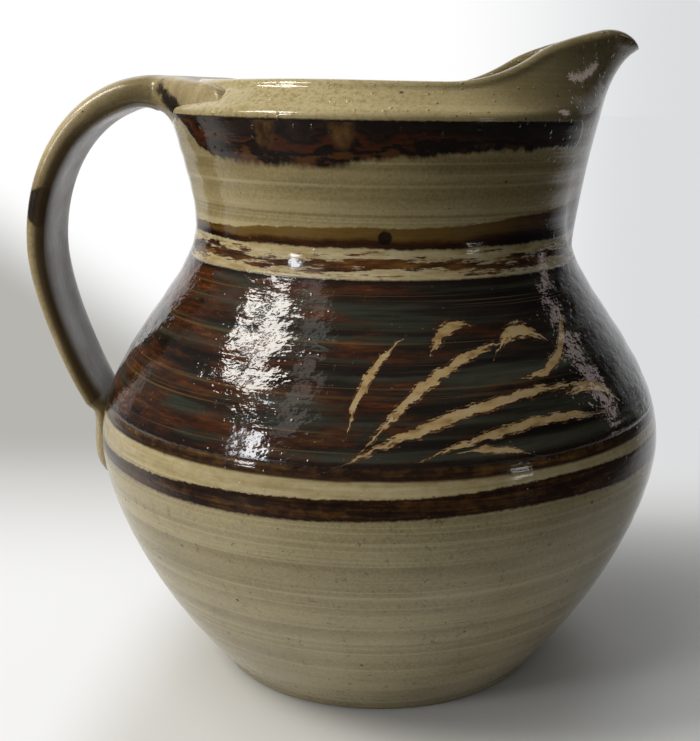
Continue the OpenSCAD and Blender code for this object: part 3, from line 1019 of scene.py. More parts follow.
        # Grit under the glaze lifts it into small domes, most of them on the collar
        bits = add("Math", (brush.dots(2.8, 0.35, 0.8, 0.7, 31.0, 1.6), 0.26), operation="MULTIPLY")
        more = add("MapRange", (brush.z, *self.grit_z, 0.35, 1.3))
        relief = add("Math", (bits, more, relief), operation="MULTIPLY_ADD")
        lines = add("Math", (brush.cloud(90, 1.7, 25.0, 2.0), 0.10, relief),
                    operation="MULTIPLY_ADD")
        holes = brush.dots(5.5, 0.22, 0.5, 0.5, 11.0)
        relief = add("Math", (holes, -0.10, lines), operation="MULTIPLY_ADD")
        return colour, rough, relief

    def low_bands(self, brush: Brush, colour: bpy.types.NodeSocket,
                  relief: bpy.types.NodeSocket) -> tuple[bpy.types.NodeSocket, ...]:
        """The brown and the golden line below the shoulder, with the pale stripe between them.

        Args:
            brush: tree to paint with.
            colour: colour under the bands.
            relief: relief under the bands.

        Returns:
            Colour and relief.
        """
        add = brush.add
        streak = brush.cloud(40, 1.6, 33.0, 4.0, 0.65)
        blots = brush.cloud(5, 3, 37.0, 4.0, 0.7)
        low_edge = brush.edge_round(88, 16, self.brown_foot)
        mid_edge = brush.edge_round(88, 20, self.brown_top)
        calm = add("Math", (brush.z, brush.stray(1.2, 26, 26, 3.0)), operation="ADD")
        over_low = add("Math", (calm, low_edge), operation="SUBTRACT")
        under_mid = add("Math", (mid_edge, calm), operation="SUBTRACT")
        rag = brush.stray(1.8, 2.0, 1.2, 41.0, 4.0, 0.7)
        over_low = add("Math", (over_low, rag), operation="ADD")
        under_mid = add("Math", (under_mid, rag), operation="ADD")
        over, under = (add("MapRange", (inside, -0.4, 0.5, 0.0, 1.0), **SOFT)
                       for inside in (over_low, under_mid))
        lower = add("Math", (over, under), operation="MULTIPLY")
        blots = add("Math", (blots, 0.45), operation="MULTIPLY")
        tone = add("Math", (streak, 0.55, blots), operation="MULTIPLY_ADD")
        brown = add("ValToRGB", (tone,), stops=self.brown)
        edge = add("Math", (over_low, under_mid), operation="MINIMUM")
        rim = add("MapRange", (edge, 0.6, 1.5, 0.75, 0.0), **SOFT)
        brown = add("Mix", {SHARE: rim, UNDER: brown, OVER: self.brown_rim},
                    MIXED, data_type="RGBA")
        colour = add("Mix", {SHARE: lower, UNDER: colour, OVER: brown}, MIXED, data_type="RGBA")
        top = add("Math", (calm, add("Math", (rag, 0.5), operation="MULTIPLY")), operation="ADD")
        upper = brush.band(top, *self.golden_z, 0.45)
        golden = add("ValToRGB", (tone,), stops=self.golden)
        near = brush.band(top, *self.golden_rim_z, 0.6)
        golden = add("Mix", {SHARE: near, UNDER: golden, OVER: self.golden_rim},
                     MIXED, data_type="RGBA")
        colour = add("Mix", {SHARE: upper, UNDER: colour, OVER: golden}, MIXED, data_type="RGBA")
        stripe = brush.band(calm, *self.stripe_z, 0.6)
        bare = add("Math", (lower, -0.7, 0.7), operation="MULTIPLY_ADD")
        stripe = add("Math", (stripe, bare), operation="MULTIPLY")
        pale = add("ValToRGB", (tone,), stops=self.stripe)
        colour = add("Mix", {SHARE: stripe, UNDER: colour, OVER: pale}, MIXED, data_type="RGBA")
        both = add("Math", (lower, upper), operation="ADD")
        return colour, add("Math", (both, 0.07, relief), operation="MULTIPLY_ADD")

    def shoulder(self, brush: Brush, crest: bpy.types.NodeSocket, colour: bpy.types.NodeSocket,
                 relief: bpy.types.NodeSocket) -> tuple[bpy.types.NodeSocket, ...]:
        """The broad dark zone with its streaks and the scratched grass.

        Args:
            brush: tree to paint with.
            crest: crests of the throwing spiral.
            colour: colour under the zone.
            relief: relief under the zone.

        Returns:
            Colour and relief.
        """
        add = brush.add
        calm = add("Math", (brush.z, brush.stray(1.2, 2.4, 1.4, 51.0, 4.0, 0.7)), operation="ADD")
        zone = brush.band(calm, *self.dark_z, 0.5)
        dark = add("ValToRGB", (brush.cloud(90, 4.5, 53.0, 3.0, 0.55),), stops=self.dark)
        # More of the thin rusty glaze on the side towards the handle
        lean = add("Math", (brush.round, math.radians(-self.rust_side)), operation="ADD")
        lean = add("Math", (lean,), operation="COSINE")
        rusty = add("Math", (lean, 0.17, brush.cloud(30, 7, 57.0, 5.0, 0.62)),
                    operation="MULTIPLY_ADD")
        rusty = add("Math", (crest, 0.06, rusty), operation="MULTIPLY_ADD")
        rusty = add("MapRange", (rusty, 0.54, 0.80, 0.0, 0.95), **SOFT)
        rust = add("ValToRGB", (brush.cloud(14, 1.8, 61.0, 5.0, 0.7),), stops=self.rust)
        dark = add("Mix", {SHARE: rusty, UNDER: dark, OVER: rust}, MIXED, data_type="RGBA")
        hairs = add("MapRange", (brush.cloud(150, 1.0, 63.0, 2.0), 0.62, 0.70, 0.0, 0.55))
        dark = add("Mix", {SHARE: hairs, UNDER: dark, OVER: self.hair}, MIXED, data_type="RGBA")
        sparks = add("Math", (brush.dots(3.4, 0.12, 0.30, 0.4, 23.0), 0.7), operation="MULTIPLY")
        dark = add("Mix", {SHARE: sparks, UNDER: dark, OVER: self.spark}, MIXED, data_type="RGBA")
        # The scratched grass: dry, broken lines with a rusty fringe
        cover = GrassSpray().cover(brush)
        dry = add("Math", (brush.cloud(7, 1.0, 67.0, 4.0, 0.75), 1.9, -0.90),
                  operation="MULTIPLY_ADD")
        drawn = add("Math", (cover, dry), operation="SUBTRACT")
        fringe = add("MapRange", (drawn, -0.35, 0.1, 0.0, 0.8), **SOFT)
        line = add("MapRange", (drawn, 0.0, 0.22, 0.0, 1.0), **SOFT)
        clay = add("ValToRGB", (brush.cloud(8, 3, 71.0, 4.0),), stops=self.clay)
        dark = add("Mix", {SHARE: fringe, UNDER: dark, OVER: self.fringe}, MIXED, data_type="RGBA")
        dark = add("Mix", {SHARE: line, UNDER: dark, OVER: clay}, MIXED, data_type="RGBA")
        # A near-black line closes the zone at both edges
        closing = brush.band(calm, *self.closing_z, 0.9)
        dark = add("Mix", {SHARE: closing, UNDER: self.closing, OVER: dark},
                   MIXED, data_type="RGBA")
        colour = add("Mix", {SHARE: zone, UNDER: colour, OVER: dark}, MIXED, data_type="RGBA")
        relief = add("Math", (zone, 0.14, relief), operation="MULTIPLY_ADD")
        # The thick glaze froze with soft dents in it, which break the mirror image of the window
        dents = add("Math", (brush.cloud(8, 4.0, 65.0, 3.0, 0.5), 0.42), operation="MULTIPLY")
        relief = add("Math", (dents, zone, relief), operation="MULTIPLY_ADD")
        return colour, add("Math", (line, -0.10, relief), operation="MULTIPLY_ADD")

    def resist(self, brush: Brush, height: bpy.types.NodeSocket, colour: bpy.types.NodeSocket,
               relief: bpy.types.NodeSocket) -> tuple[bpy.types.NodeSocket, ...]:
        """The pale zone above the shoulder, with broken brown strokes left on it.

        Args:
            brush: tree to paint with.
            height: height with the wandering of a painted edge.
            colour: colour under the zone.
            relief: relief under the zone.

        Returns:
            Colour and relief.
        """
        add = brush.add
        # The dry brush left long broken lines half way up, thicker on the side of the handle
        middle = add("Math", (brush.cloud(45, 60, 111.0, 2.0), 9.0, self.left_middle_z),
                     operation="MULTIPLY_ADD")
        off = add("Math", (height, middle), operation="SUBTRACT")
        off = add("Math", (off,), operation="ABSOLUTE")
        body = add("MapRange", (brush.round, math.radians(-50), math.radians(-5), 4.6, 3.4))
        body = add("Math", (add("Math", (off, body), operation="DIVIDE"), 1.0), operation="MINIMUM")
        strokes = add("Math", (body, -0.24, brush.cloud(16, 2.0, 73.0, 5.0, 0.72)),
                      operation="MULTIPLY_ADD")
        strokes = add("MapRange", (strokes, 0.345, 0.405, 0.0, 1.0))
        zone = brush.band(height, *self.left_z, 0.6)
        strokes = add("Math", (strokes, zone), operation="MULTIPLY")
        cream = add("ValToRGB", (brush.cloud(10, 2.5, 77.0, 4.0, 0.65),), stops=self.cream)
        pale = add("Mix", {SHARE: 0.7, UNDER: colour, OVER: cream}, MIXED, data_type="RGBA")
        light = brush.band(brush.z, *self.cream_z, 0.8)
        colour = add("Mix", {SHARE: light, UNDER: colour, OVER: pale}, MIXED, data_type="RGBA")
        brown = add("ValToRGB", (brush.cloud(14, 2, 79.0, 3.0),), stops=self.left)
        return (add("Mix", {SHARE: strokes, UNDER: colour, OVER: brown}, MIXED, data_type="RGBA"),
                add("Math", (strokes, 0.08, relief), operation="MULTIPLY_ADD"))

    def neck_band(self, brush: Brush, colour: bpy.types.NodeSocket,
                  relief: bpy.types.NodeSocket) -> tuple[bpy.types.NodeSocket, ...]:
        """The golden-brown band round the neck, with its one black blot.

        Args:
            brush: tree to paint with.
            colour: colour under the band.
            relief: relief under the band.

        Returns:
            Colour and relief.
        """
        add = brush.add
        top_edge = brush.edge_round(170, 20, self.neck_top)
        calm = add("Math", (brush.z, brush.stray(1.4, 2.0, 1.4, 83.0, 4.0, 0.7)), operation="ADD")
        over = add("Math", (calm, brush.stray(2.4, 14, 30, 85.0, 3.0)), operation="ADD")
        over = add("Math", (over, self.neck_foot_z), operation="SUBTRACT")
        depth = add("Math", (top_edge, self.neck_foot_z), operation="SUBTRACT")
        part = add("Math", (over, depth), operation="DIVIDE")
        band = brush.band(part, 0.0, 1.0, 0.06, 0.06)
        streak = brush.cloud(16, 2.2, 87.0, 5.0, 0.7)
        step = add("MapRange", (part, 0.22, 0.62, 0.24, 0.84), **SOFT)
        tone = add("Math", (streak, 0.75, step), operation="MULTIPLY_ADD")
        # It is painted darker on the right, which is painted shade on the side away from the lamps,
        # and it is darker again where it ends at the handle
        right = add("MapRange", (brush.round, math.radians(20), math.radians(62), 0.0, -0.62))
        tone = add("Math", (tone, right), operation="ADD")
        end = add("MapRange", (brush.round, math.radians(-58), math.radians(-40), -0.3, 0.0))
        tone = add("Math", (add("Math", (tone, end), operation="ADD"), 0.75), operation="MULTIPLY")
        brown = add("ValToRGB", (tone,), stops=self.neck)
        blot = add("VectorMath", (brush.place, self.blot_place), 1, operation="DISTANCE")
        blot = add("Math", (blot, brush.cloud(2.5, 2.5, 91.0)), operation="ADD")
        blot = add("MapRange", (blot, *self.blot_r, 0.92, 0.0), **SOFT)
        brown = add("Mix", {SHARE: blot, UNDER: brown, OVER: self.blot}, MIXED, data_type="RGBA")
        return (add("Mix", {SHARE: band, UNDER: colour, OVER: brown}, MIXED, data_type="RGBA"),
                add("Math", (band, 0.08, relief), operation="MULTIPLY_ADD"))

    def top_band(self, brush: Brush, colour: bpy.types.NodeSocket,
                 relief: bpy.types.NodeSocket) -> tuple[bpy.types.NodeSocket, ...]:
        """The near-black band under the ridge, with golden gaps and a fringe of fine runs.

        Args:
            brush: tree to paint with.
            colour: colour under the band.
            relief: relief under the band.

        Returns:
            Colour and relief.
        """
        add = brush.add
        low_edge = brush.edge_round(194, 22, self.ink_foot)
        # Fine runs hang from the lower edge, as hairs a millimetre wide
        runs = brush.stray(4.5, 3.0, 9.0, 97.0, 5.0, 0.7)
        blots = brush.stray(4.0, 9, 9, 101.0, 2.0)
        fringe = add("Math", (runs, blots), operation="ADD")
        low_edge = add("Math", (low_edge, fringe), operation="ADD")
        rag = brush.stray(0.8, 1.6, 1.2, 103.0, 3.0, 0.7)
        high_edge = add("Math", (rag, self.ink_top_z), operation="ADD")
        over = add("Math", (brush.z, low_edge), operation="SUBTRACT")
        depth = add("Math", (high_edge, low_edge), operation="SUBTRACT")
        part = add("Math", (over, depth), operation="DIVIDE")
        band = brush.band(part, 0.0, 1.0, 0.09, 0.03)
        # The stroke leaves out the front of the spout and ends round on its flanks
        aside = add("Math", (add("Math", (brush.round, math.radians(-90)), operation="ADD"),),
                    operation="ABSOLUTE")
        aside = add("Math", (aside, self.neck_r), operation="MULTIPLY")
        bow = add("Math", (add("Math", (brush.z, -self.ink_middle_z), operation="ADD"), 2.0),
                  operation="POWER")
        aside = add("Math", (bow, -0.12, aside), operation="MULTIPLY_ADD")
        aside = add("Math", (aside, add("Math", (rag, 2.0), operation="MULTIPLY")), operation="ADD")
        stroke = add("MapRange", (aside, *self.ink_end, 0.0, 1.0), **SOFT)
        band = add("Math", (band, stroke), operation="MULTIPLY")
        flame = brush.cloud(14, 5, 107.0, 4.0, 0.55)
        tone = add("Math", (add("Math", (flame, -0.5), operation="ADD"), 1.8, part),
                   operation="MULTIPLY_ADD")
        ink = add("ValToRGB", (tone,), stops=self.ink)
        # Painted shade: the band goes near black towards the right, the side away from the lamps
        right = add("MapRange", (brush.round, math.radians(-10), math.radians(30), 0.0, 0.6))
        ink = add("Mix", {SHARE: right, UNDER: ink, OVER: self.ink_painted_shade}, MIXED, data_type="RGBA")
        front = add("Math", (brush.round,), operation="COSINE")
        gaps, fewer = brush.cloud(13, 40, 109.0, 2.0), add("MapRange", (front, 0.2, 0.7, 0.0, 0.2))
        gaps = add("Math", (gaps, fewer), operation="SUBTRACT")
        gaps = add("MapRange", (gaps, 0.60, 0.66, 0.0, 0.8))
        # The gaps narrow downwards, as glaze that has run together
        narrow = add("MapRange", (part, 0.3, 0.8, 3.0, 0.0))
        for angle in self.gap_angles:
            away = add("Math", (add("Math", (brush.round, math.radians(-angle)), operation="ADD"),),
                       operation="ABSOLUTE")
            waver = add("Math", (flame, 6.0, narrow), operation="MULTIPLY_ADD")
            away = add("Math", (away, self.neck_r, waver), operation="MULTIPLY_ADD")
            gap = add("MapRange", (away, *self.gap_edge, 0.95, 0.0), **SOFT)
            gaps = add("Math", (gaps, gap), operation="MAXIMUM")
        window = brush.band(part, 0.36, 0.94, 0.14, 0.03)
        gaps = add("Math", (gaps, window), operation="MULTIPLY")
        thin = add("ValToRGB", (brush.cloud(5, 8, 113.0, 4.0),), stops=self.ink_thin)
        ink = add("Mix", {SHARE: gaps, UNDER: ink, OVER: thin}, MIXED, data_type="RGBA")
        return (add("Mix", {SHARE: band, UNDER: colour, OVER: ink}, MIXED, data_type="RGBA"),
                add("Math", (band, 0.10, relief), operation="MULTIPLY_ADD"))


@dataclass(frozen=True)
class StrapGlaze:
    """The same ash glaze on the handle, with painted shade on the strap's face towards the pot."""

    name: str = "ash_glaze_on_pulled_strap"
    tones: Ramp = ((0.44, "#6f6243"), (0.56, "#847552"), (0.66, "#978762"), (0.8, "#ac9b75"))
    speck: str = "#3a2a1b"
    iron: str = "#1a120e"
    # Brown painted over the strap's face towards the pot as painted shade, and the heights over
    # which it fades
    thin: str = "#4b3a22"
    strap_shade_z: Span = (205.0, 218.0)
    # Length and width of the lines that pulling left, in millimetres
    pulled_l: float = 60.0
    pulled_w: float = 1.6
    # The blot on the strap, as two dabs with their middles and radii
    blot: tuple[tuple[tuple[float, float, float], float], ...] = (
        ((-126.0, -19.0, 181.0), 6.6), ((-127.0, -19.0, 176.8), 5.4))
    # The run of iron down the root's flank: its dabs, their first place and radius, and the steps
    run_dabs: int = 10
    run_start: tuple[float, float, float] = (-78.0, -19.0, 222.0)
    run_step: tuple[float, float, float] = (1.1, -2.0, -1.1)
    run_r: float = 5.0
    run_taper: float = 0.12

    def build(self) -> bpy.types.Material:
        """The finished material."""
        brush = Brush(self.name)
        add = brush.add
        clouds, grain = brush.cloud(20, 30, 1.0), brush.cloud(1.0, 1.0, 5.0, 2.0, 0.7)
        tone = add("Math", (grain, 0.3), operation="MULTIPLY")
        tone = add("Math", (clouds, 0.7, tone), operation="MULTIPLY_ADD")
        # Pulling leaves fine lines along the strap
        scale = (1 / self.pulled_l, 1 / self.pulled_w, 1 / self.pulled_l)
        pulled = add("VectorMath", (brush.place, scale), operation="MULTIPLY")
        pulled = add("TexNoise", {"Vector": pulled, "Scale": 1.0, "Detail": 2.0})
        tone = add("Math", (pulled, 0.2, tone), operation="MULTIPLY_ADD")
        colour = add("ValToRGB", (tone,), stops=self.tones)
        specks = add("Math", (brush.dots(6.0, 0.18, 0.5, 0.5, 3.0), 0.8), operation="MULTIPLY")
        colour = add("Mix", {SHARE: specks, UNDER: colour, OVER: self.speck},
                     MIXED, data_type="RGBA")
        ragged = brush.cloud(3.0, 3.0, 7.0, 4.0, 0.7)
        # One blot of iron on the strap, and a tapering run of it down the flank of the root
        dabs = list(self.blot)
        for i in range(self.run_dabs):
            place = tuple(a + b * i for a, b in zip(self.run_start, self.run_step))
            dabs.append((place, self.run_r - self.run_taper * i))
        for place, radius in dabs:
            far = add("VectorMath", (brush.place, place), 1, operation="DISTANCE")
            far = add("Math", (ragged, 3.0, far), operation="MULTIPLY_ADD")
            dab = add("MapRange", (far, radius, radius + 1.4, 0.95, 0.0), **SOFT)
            colour = add("Mix", {SHARE: dab, UNDER: colour, OVER: self.iron},
                         MIXED, data_type="RGBA")
        rough = add("MapRange", (brush.cloud(12, 12, 17.0), 0.3, 0.7, 0.16, 0.30))
        # The face towards the pot is painted brown, which is painted shade, and its glaze is
        # rougher
        facing = add("SeparateXYZ", (add("TexCoord", out=1),))
        inner = add("MapRange", (facing, -0.24, 0.3, 0.0, 0.85), **SOFT)
        below = add("MapRange", (brush.z, *self.strap_shade_z, 1.0, 0.2))
        inner = add("Math", (inner, below), operation="MULTIPLY")
        colour = add("Mix", {SHARE: inner, UNDER: colour, OVER: self.thin}, MIXED, data_type="RGBA")
        rough = add("Math", (inner, 0.12, rough), operation="MULTIPLY_ADD")
        peel = brush.cloud(3.0, 3.0, 21.0, 2.0)
        relief = add("Math", (pulled, 0.05), operation="MULTIPLY")
        relief = add("Math", (peel, 0.05, relief), operation="MULTIPLY_ADD")
        return brush.finish(colour, rough, relief)


@dataclass
class ThrownBody:
    """Floor, belly, shoulder, neck and collar, thrown in one."""

    skin: Skin
    name: str = "thrown_body"

    def build(self) -> bpy.types.Object:
        """The body without the part of the wall that is the spout."""
        return finish_piece(self.skin.part(spout=False), f"{self.name}_glazed")


@dataclass
class PouringSpout:
    """The beak that is drawn out of the collar."""

    skin: Skin
    name: str = "pouring_spout"

    def build(self) -> bpy.types.Object:
        """The spout, seated on the notch in the body."""
        return finish_piece(self.skin.part(spout=True), f"{self.name}_glazed")


@dataclass
class StrapHandle:
    """The pulled strap, smeared onto the collar and pressed onto the belly."""

    wall: ThrownWall
    name: str = "strap_handle"
    reach: float = 134.6
    reach_z: float = 164.0
    crown_x: float = 84.0
    crown_z: float = 228.3
    crease_x: float = 114.8
    crease_z: float = 101.8
    strap_w: float = 38.4
    strap_t: float = 9.0
    throat_t: float = 12.4
    crown_t: float = 14.5
    root_h: float = 20.5
    root_half_w: float = 52.0
    root_rise: float = 6.5
    crease_t: float = 6.4
    groove: float = 0.9
    tail_z: float = 68.0
    tail_out: float = 6.5
    tail_half_w: float = 18.0
    bury: float = 8.0
    under_skin: float = 1.6
    square: float = 0.7
    root_square: float = 0.4
    root_lean: float = 0.38
    root_tilt: float = 0.03
    flare_power: float = 1.8
    # Distance from the rim at which the wings are widest, the flare at which they are fully bent
    # round the pot, and the share by which their lower edge reaches further
    flare_gap: float = 3.5
    bend_by: float = 0.7
    wing_reach: float = 0.1
    # Shares of the arch and the tail at which their widths change their slope, and the width
    # that is left at the tail's end, as a share of the strap's
    throat_at: float = 0.25
    tail_at: float = 0.55
    tail_end: float = 0.55
    crease_rounds: int = 8
    points: int = 64
    rings: dict[str, int] = field(
        default_factory=lambda: {"root": 44, "arch": 60, "fall": 56, "tail": 44})

    @cached_property
    def curves(self) -> dict[str, Curve]:
        """Side view of the outside of the handle, from the root over the crown to the tail."""
        v = self.behind
        bury_x = self.wall.rim_r - self.bury
        root_z = mix(self.wall.spring_z, self.wall.rim_z, 0.4)
        tail_x = self.wall.outer.at(self.tail_z)
        return {
            "root": Curve(v(bury_x, root_z), v(mix(bury_x, self.crown_x, 0.5), root_z),
                          v(mix(self.crown_x, bury_x, 0.5), self.crown_z),
                          v(self.crown_x, self.crown_z)),
            "arch": Curve(v(self.crown_x, self.crown_z),
                          v(mix(self.crown_x, self.reach, 0.52), self.crown_z),
                          v(self.reach, mix(self.reach_z, self.crown_z, 0.60)),
                          v(self.reach, self.reach_z)),
            "fall": Curve(v(self.reach, self.reach_z),
                          v(self.reach, mix(self.reach_z, self.crease_z, 0.35)),
                          v(mix(self.crease_x, self.reach, 0.22),
                            mix(self.crease_z, self.reach_z, 0.09)),
                          v(self.crease_x, self.crease_z)),
            "tail": Curve(v(self.crease_x, self.crease_z),
                          v(self.crease_x - self.tail_out * 0.55,
                            mix(self.crease_z, self.tail_z, 0.19)),
                          v(self.wall.belly_r + self.tail_out * 1.75,
                            mix(self.tail_z, self.crease_z, 0.31)),
                          v(tail_x, self.tail_z)),
        }

    @staticmethod
    def behind(out: float, up: float) -> Vector:
        """Point of the side view on the handle's side, from its distance to the axis and height."""
        return Vector((-out, up))

    def section(self, part: str, t: float) -> tuple[float, float, float, float, float]:
        """Half width, thickness, rise to the sides, flare and bend round the body of a section.

        Args:
            part: name of the curve that the section stands on.
            t: share along that curve.

        Returns:
            The five sizes: millimetres, apart from flare and bend, which are shares.
        """
        half = self.strap_w / 2
        if part == "root":
            # The thumbs drew the clay out into two wings, widest where it meets the collar
            out = -self.curves[part].at(t).x
            run = self.crown_x - self.wall.rim_r - self.flare_gap
            flare = min(1.0, max(0.0, (self.crown_x - out) / run))
            wide = mix(half, self.root_half_w, flare**self.flare_power)
            thick = mix(self.crown_t, self.root_h, ease(0, 1, flare))
            bend = ease(0, 1, min(1.0, flare / self.bend_by))
            return wide, thick, self.root_rise * flare, flare, bend
        if part == "arch":
            at = self.throat_at
            thick = (mix(self.throat_t, self.crown_t, (1 - t / at) ** 3) if t < at
                     else mix(self.throat_t, self.strap_t, (t - at) / (1 - at)))
            return half, thick, 0.0, 0.0, 0.0
        if part == "fall":
            return half, mix(self.strap_t, self.crease_t, t), 0.0, 0.0, 0.0
        at = self.tail_at
        wide = (ease(half, self.tail_half_w, t / at) if t < at
                else mix(self.tail_half_w, half * self.tail_end, ((t - at) / (1 - at)) ** 2))
        return wide, mix(self.crease_t, self.crease_t + self.bury, t), 0.0, 0.0, 1.0

    def place(self, part: str, t: float, turn: float) -> Vector:
        """Point of the strap's skin.

        Args:
            part: name of the curve.
            t: share along that curve.
            turn: angle round the section, in radians.

        Returns:
            The point in millimetres, held just under the body's skin where it would run deeper.
        """
        curve = self.curves[part]
        half, thick, rise, flare, bend = self.section(part, t)
        square = mix(self.square, self.root_square, flare)
        c, s = math.cos(turn), math.sin(turn)
        y = half * math.copysign(abs(c) ** square, c)
        face = math.copysign(abs(s) ** square, s)
        drawn = (1 - min(1.0, abs(y / half)) ** 2) ** 2
        depth = (thick - rise * (y / half) ** 2) / 2 * (1 - face) + self.groove * face * drawn
        q = curve.inside(t, depth) if part != "root" else curve.at(t) - Vector((0, depth))
        slant = self.root_lean * flare**2 * min(depth, self.wall.rim_z - self.wall.ridge_z)
        # Wings follow the pot's round, reach further at their lower edge, and one stands higher
        y *= 1 - self.wing_reach * flare * face
        lift = self.root_tilt * flare * y * (1 + face) / 2
        round_r = slant - q.x
        wrap = bend * (round_r - math.sqrt(max(0.0, round_r**2 - y**2))) if bend else 0.0
        return self.keep_under(Vector((wrap - round_r, y, q.y + lift)))

    def keep_under(self, p: Vector) -> Vector:
        """The point, moved out to just under the body's skin where it lies deeper than that."""
        wall = self.wall
        if p.z > wall.rim_z:
            return p
        skin = wall.outer.at(p.z)
        if p.z > wall.spring_z:
            skin = wall.rim_r - wall.rim_t / 2 + math.sqrt(
                max(0.0, (wall.rim_t / 2) ** 2 - (p.z - wall.spring_z) ** 2))
        reach, least = p.xy.length, skin - self.under_skin
        if reach < least:
            p.xy = p.xy * (least / reach)
        return p

    def build(self) -> bpy.types.Object:
        """The strap as a tube that is lofted from a sheet, its seam and its ends closed."""
        stations = [("root", 0.0)]
        for part, count in self.rings.items():
            stations += [(part, i / count) for i in range(1, count + 1)]
        bm = bmesh.new()
        bmesh.ops.create_grid(bm, x_segments=len(stations) - 1, y_segments=self.points, size=0.5)
        creased = []
        for vert in bm.verts:
            part, t = stations[round((vert.co.x + 0.5) * (len(stations) - 1))]
            turn = -2 * math.pi * (round((vert.co.y + 0.5) * self.points) + 0.5) / self.points
            vert.co = self.place(part, t, turn)
            if (part == "fall" and t > 0.95) or (part == "tail" and t < 0.1):
                creased.append(vert)
        bmesh.ops.remove_doubles(bm, verts=bm.verts, dist=1e-3)
        creased = [vert for vert in creased if vert.is_valid]
        for _ in range(self.crease_rounds):
            bmesh.ops.smooth_vert(bm, verts=creased, factor=0.5, use_axis_x=True,
                                  use_axis_y=True, use_axis_z=True)
        ends = bmesh.ops.holes_fill(bm, edges=[e for e in bm.edges if e.is_boundary], sides=0)
        # The buried ends are bent round the wall, so that the upper one doesn't cross the mouth
        cross = bmesh.ops.triangulate(bm, faces=ends["faces"], ngon_method="BEAUTY")["edges"]
        middle = bmesh.ops.subdivide_edges(bm, edges=cross, cuts=1)["geom_inner"]
        for vert in (item for item in middle if isinstance(item, bmesh.types.BMVert)):
            vert.co = self.keep_under(vert.co)
        bmesh.ops.recalc_face_normals(bm, faces=bm.faces)
        return finish_piece(bm, f"{self.name}_glazed")


@dataclass(frozen=True)
class Pane:
    """A soft pane of light: its direction from the pot, distance and size in metres, and glow."""

    name: str
    azimuth: float
    elevation: float
    wide: float
    tall: float
    glow: float
    away: float = 1.2
    tint: str = "#ffffff"
    mirrored: bool = True


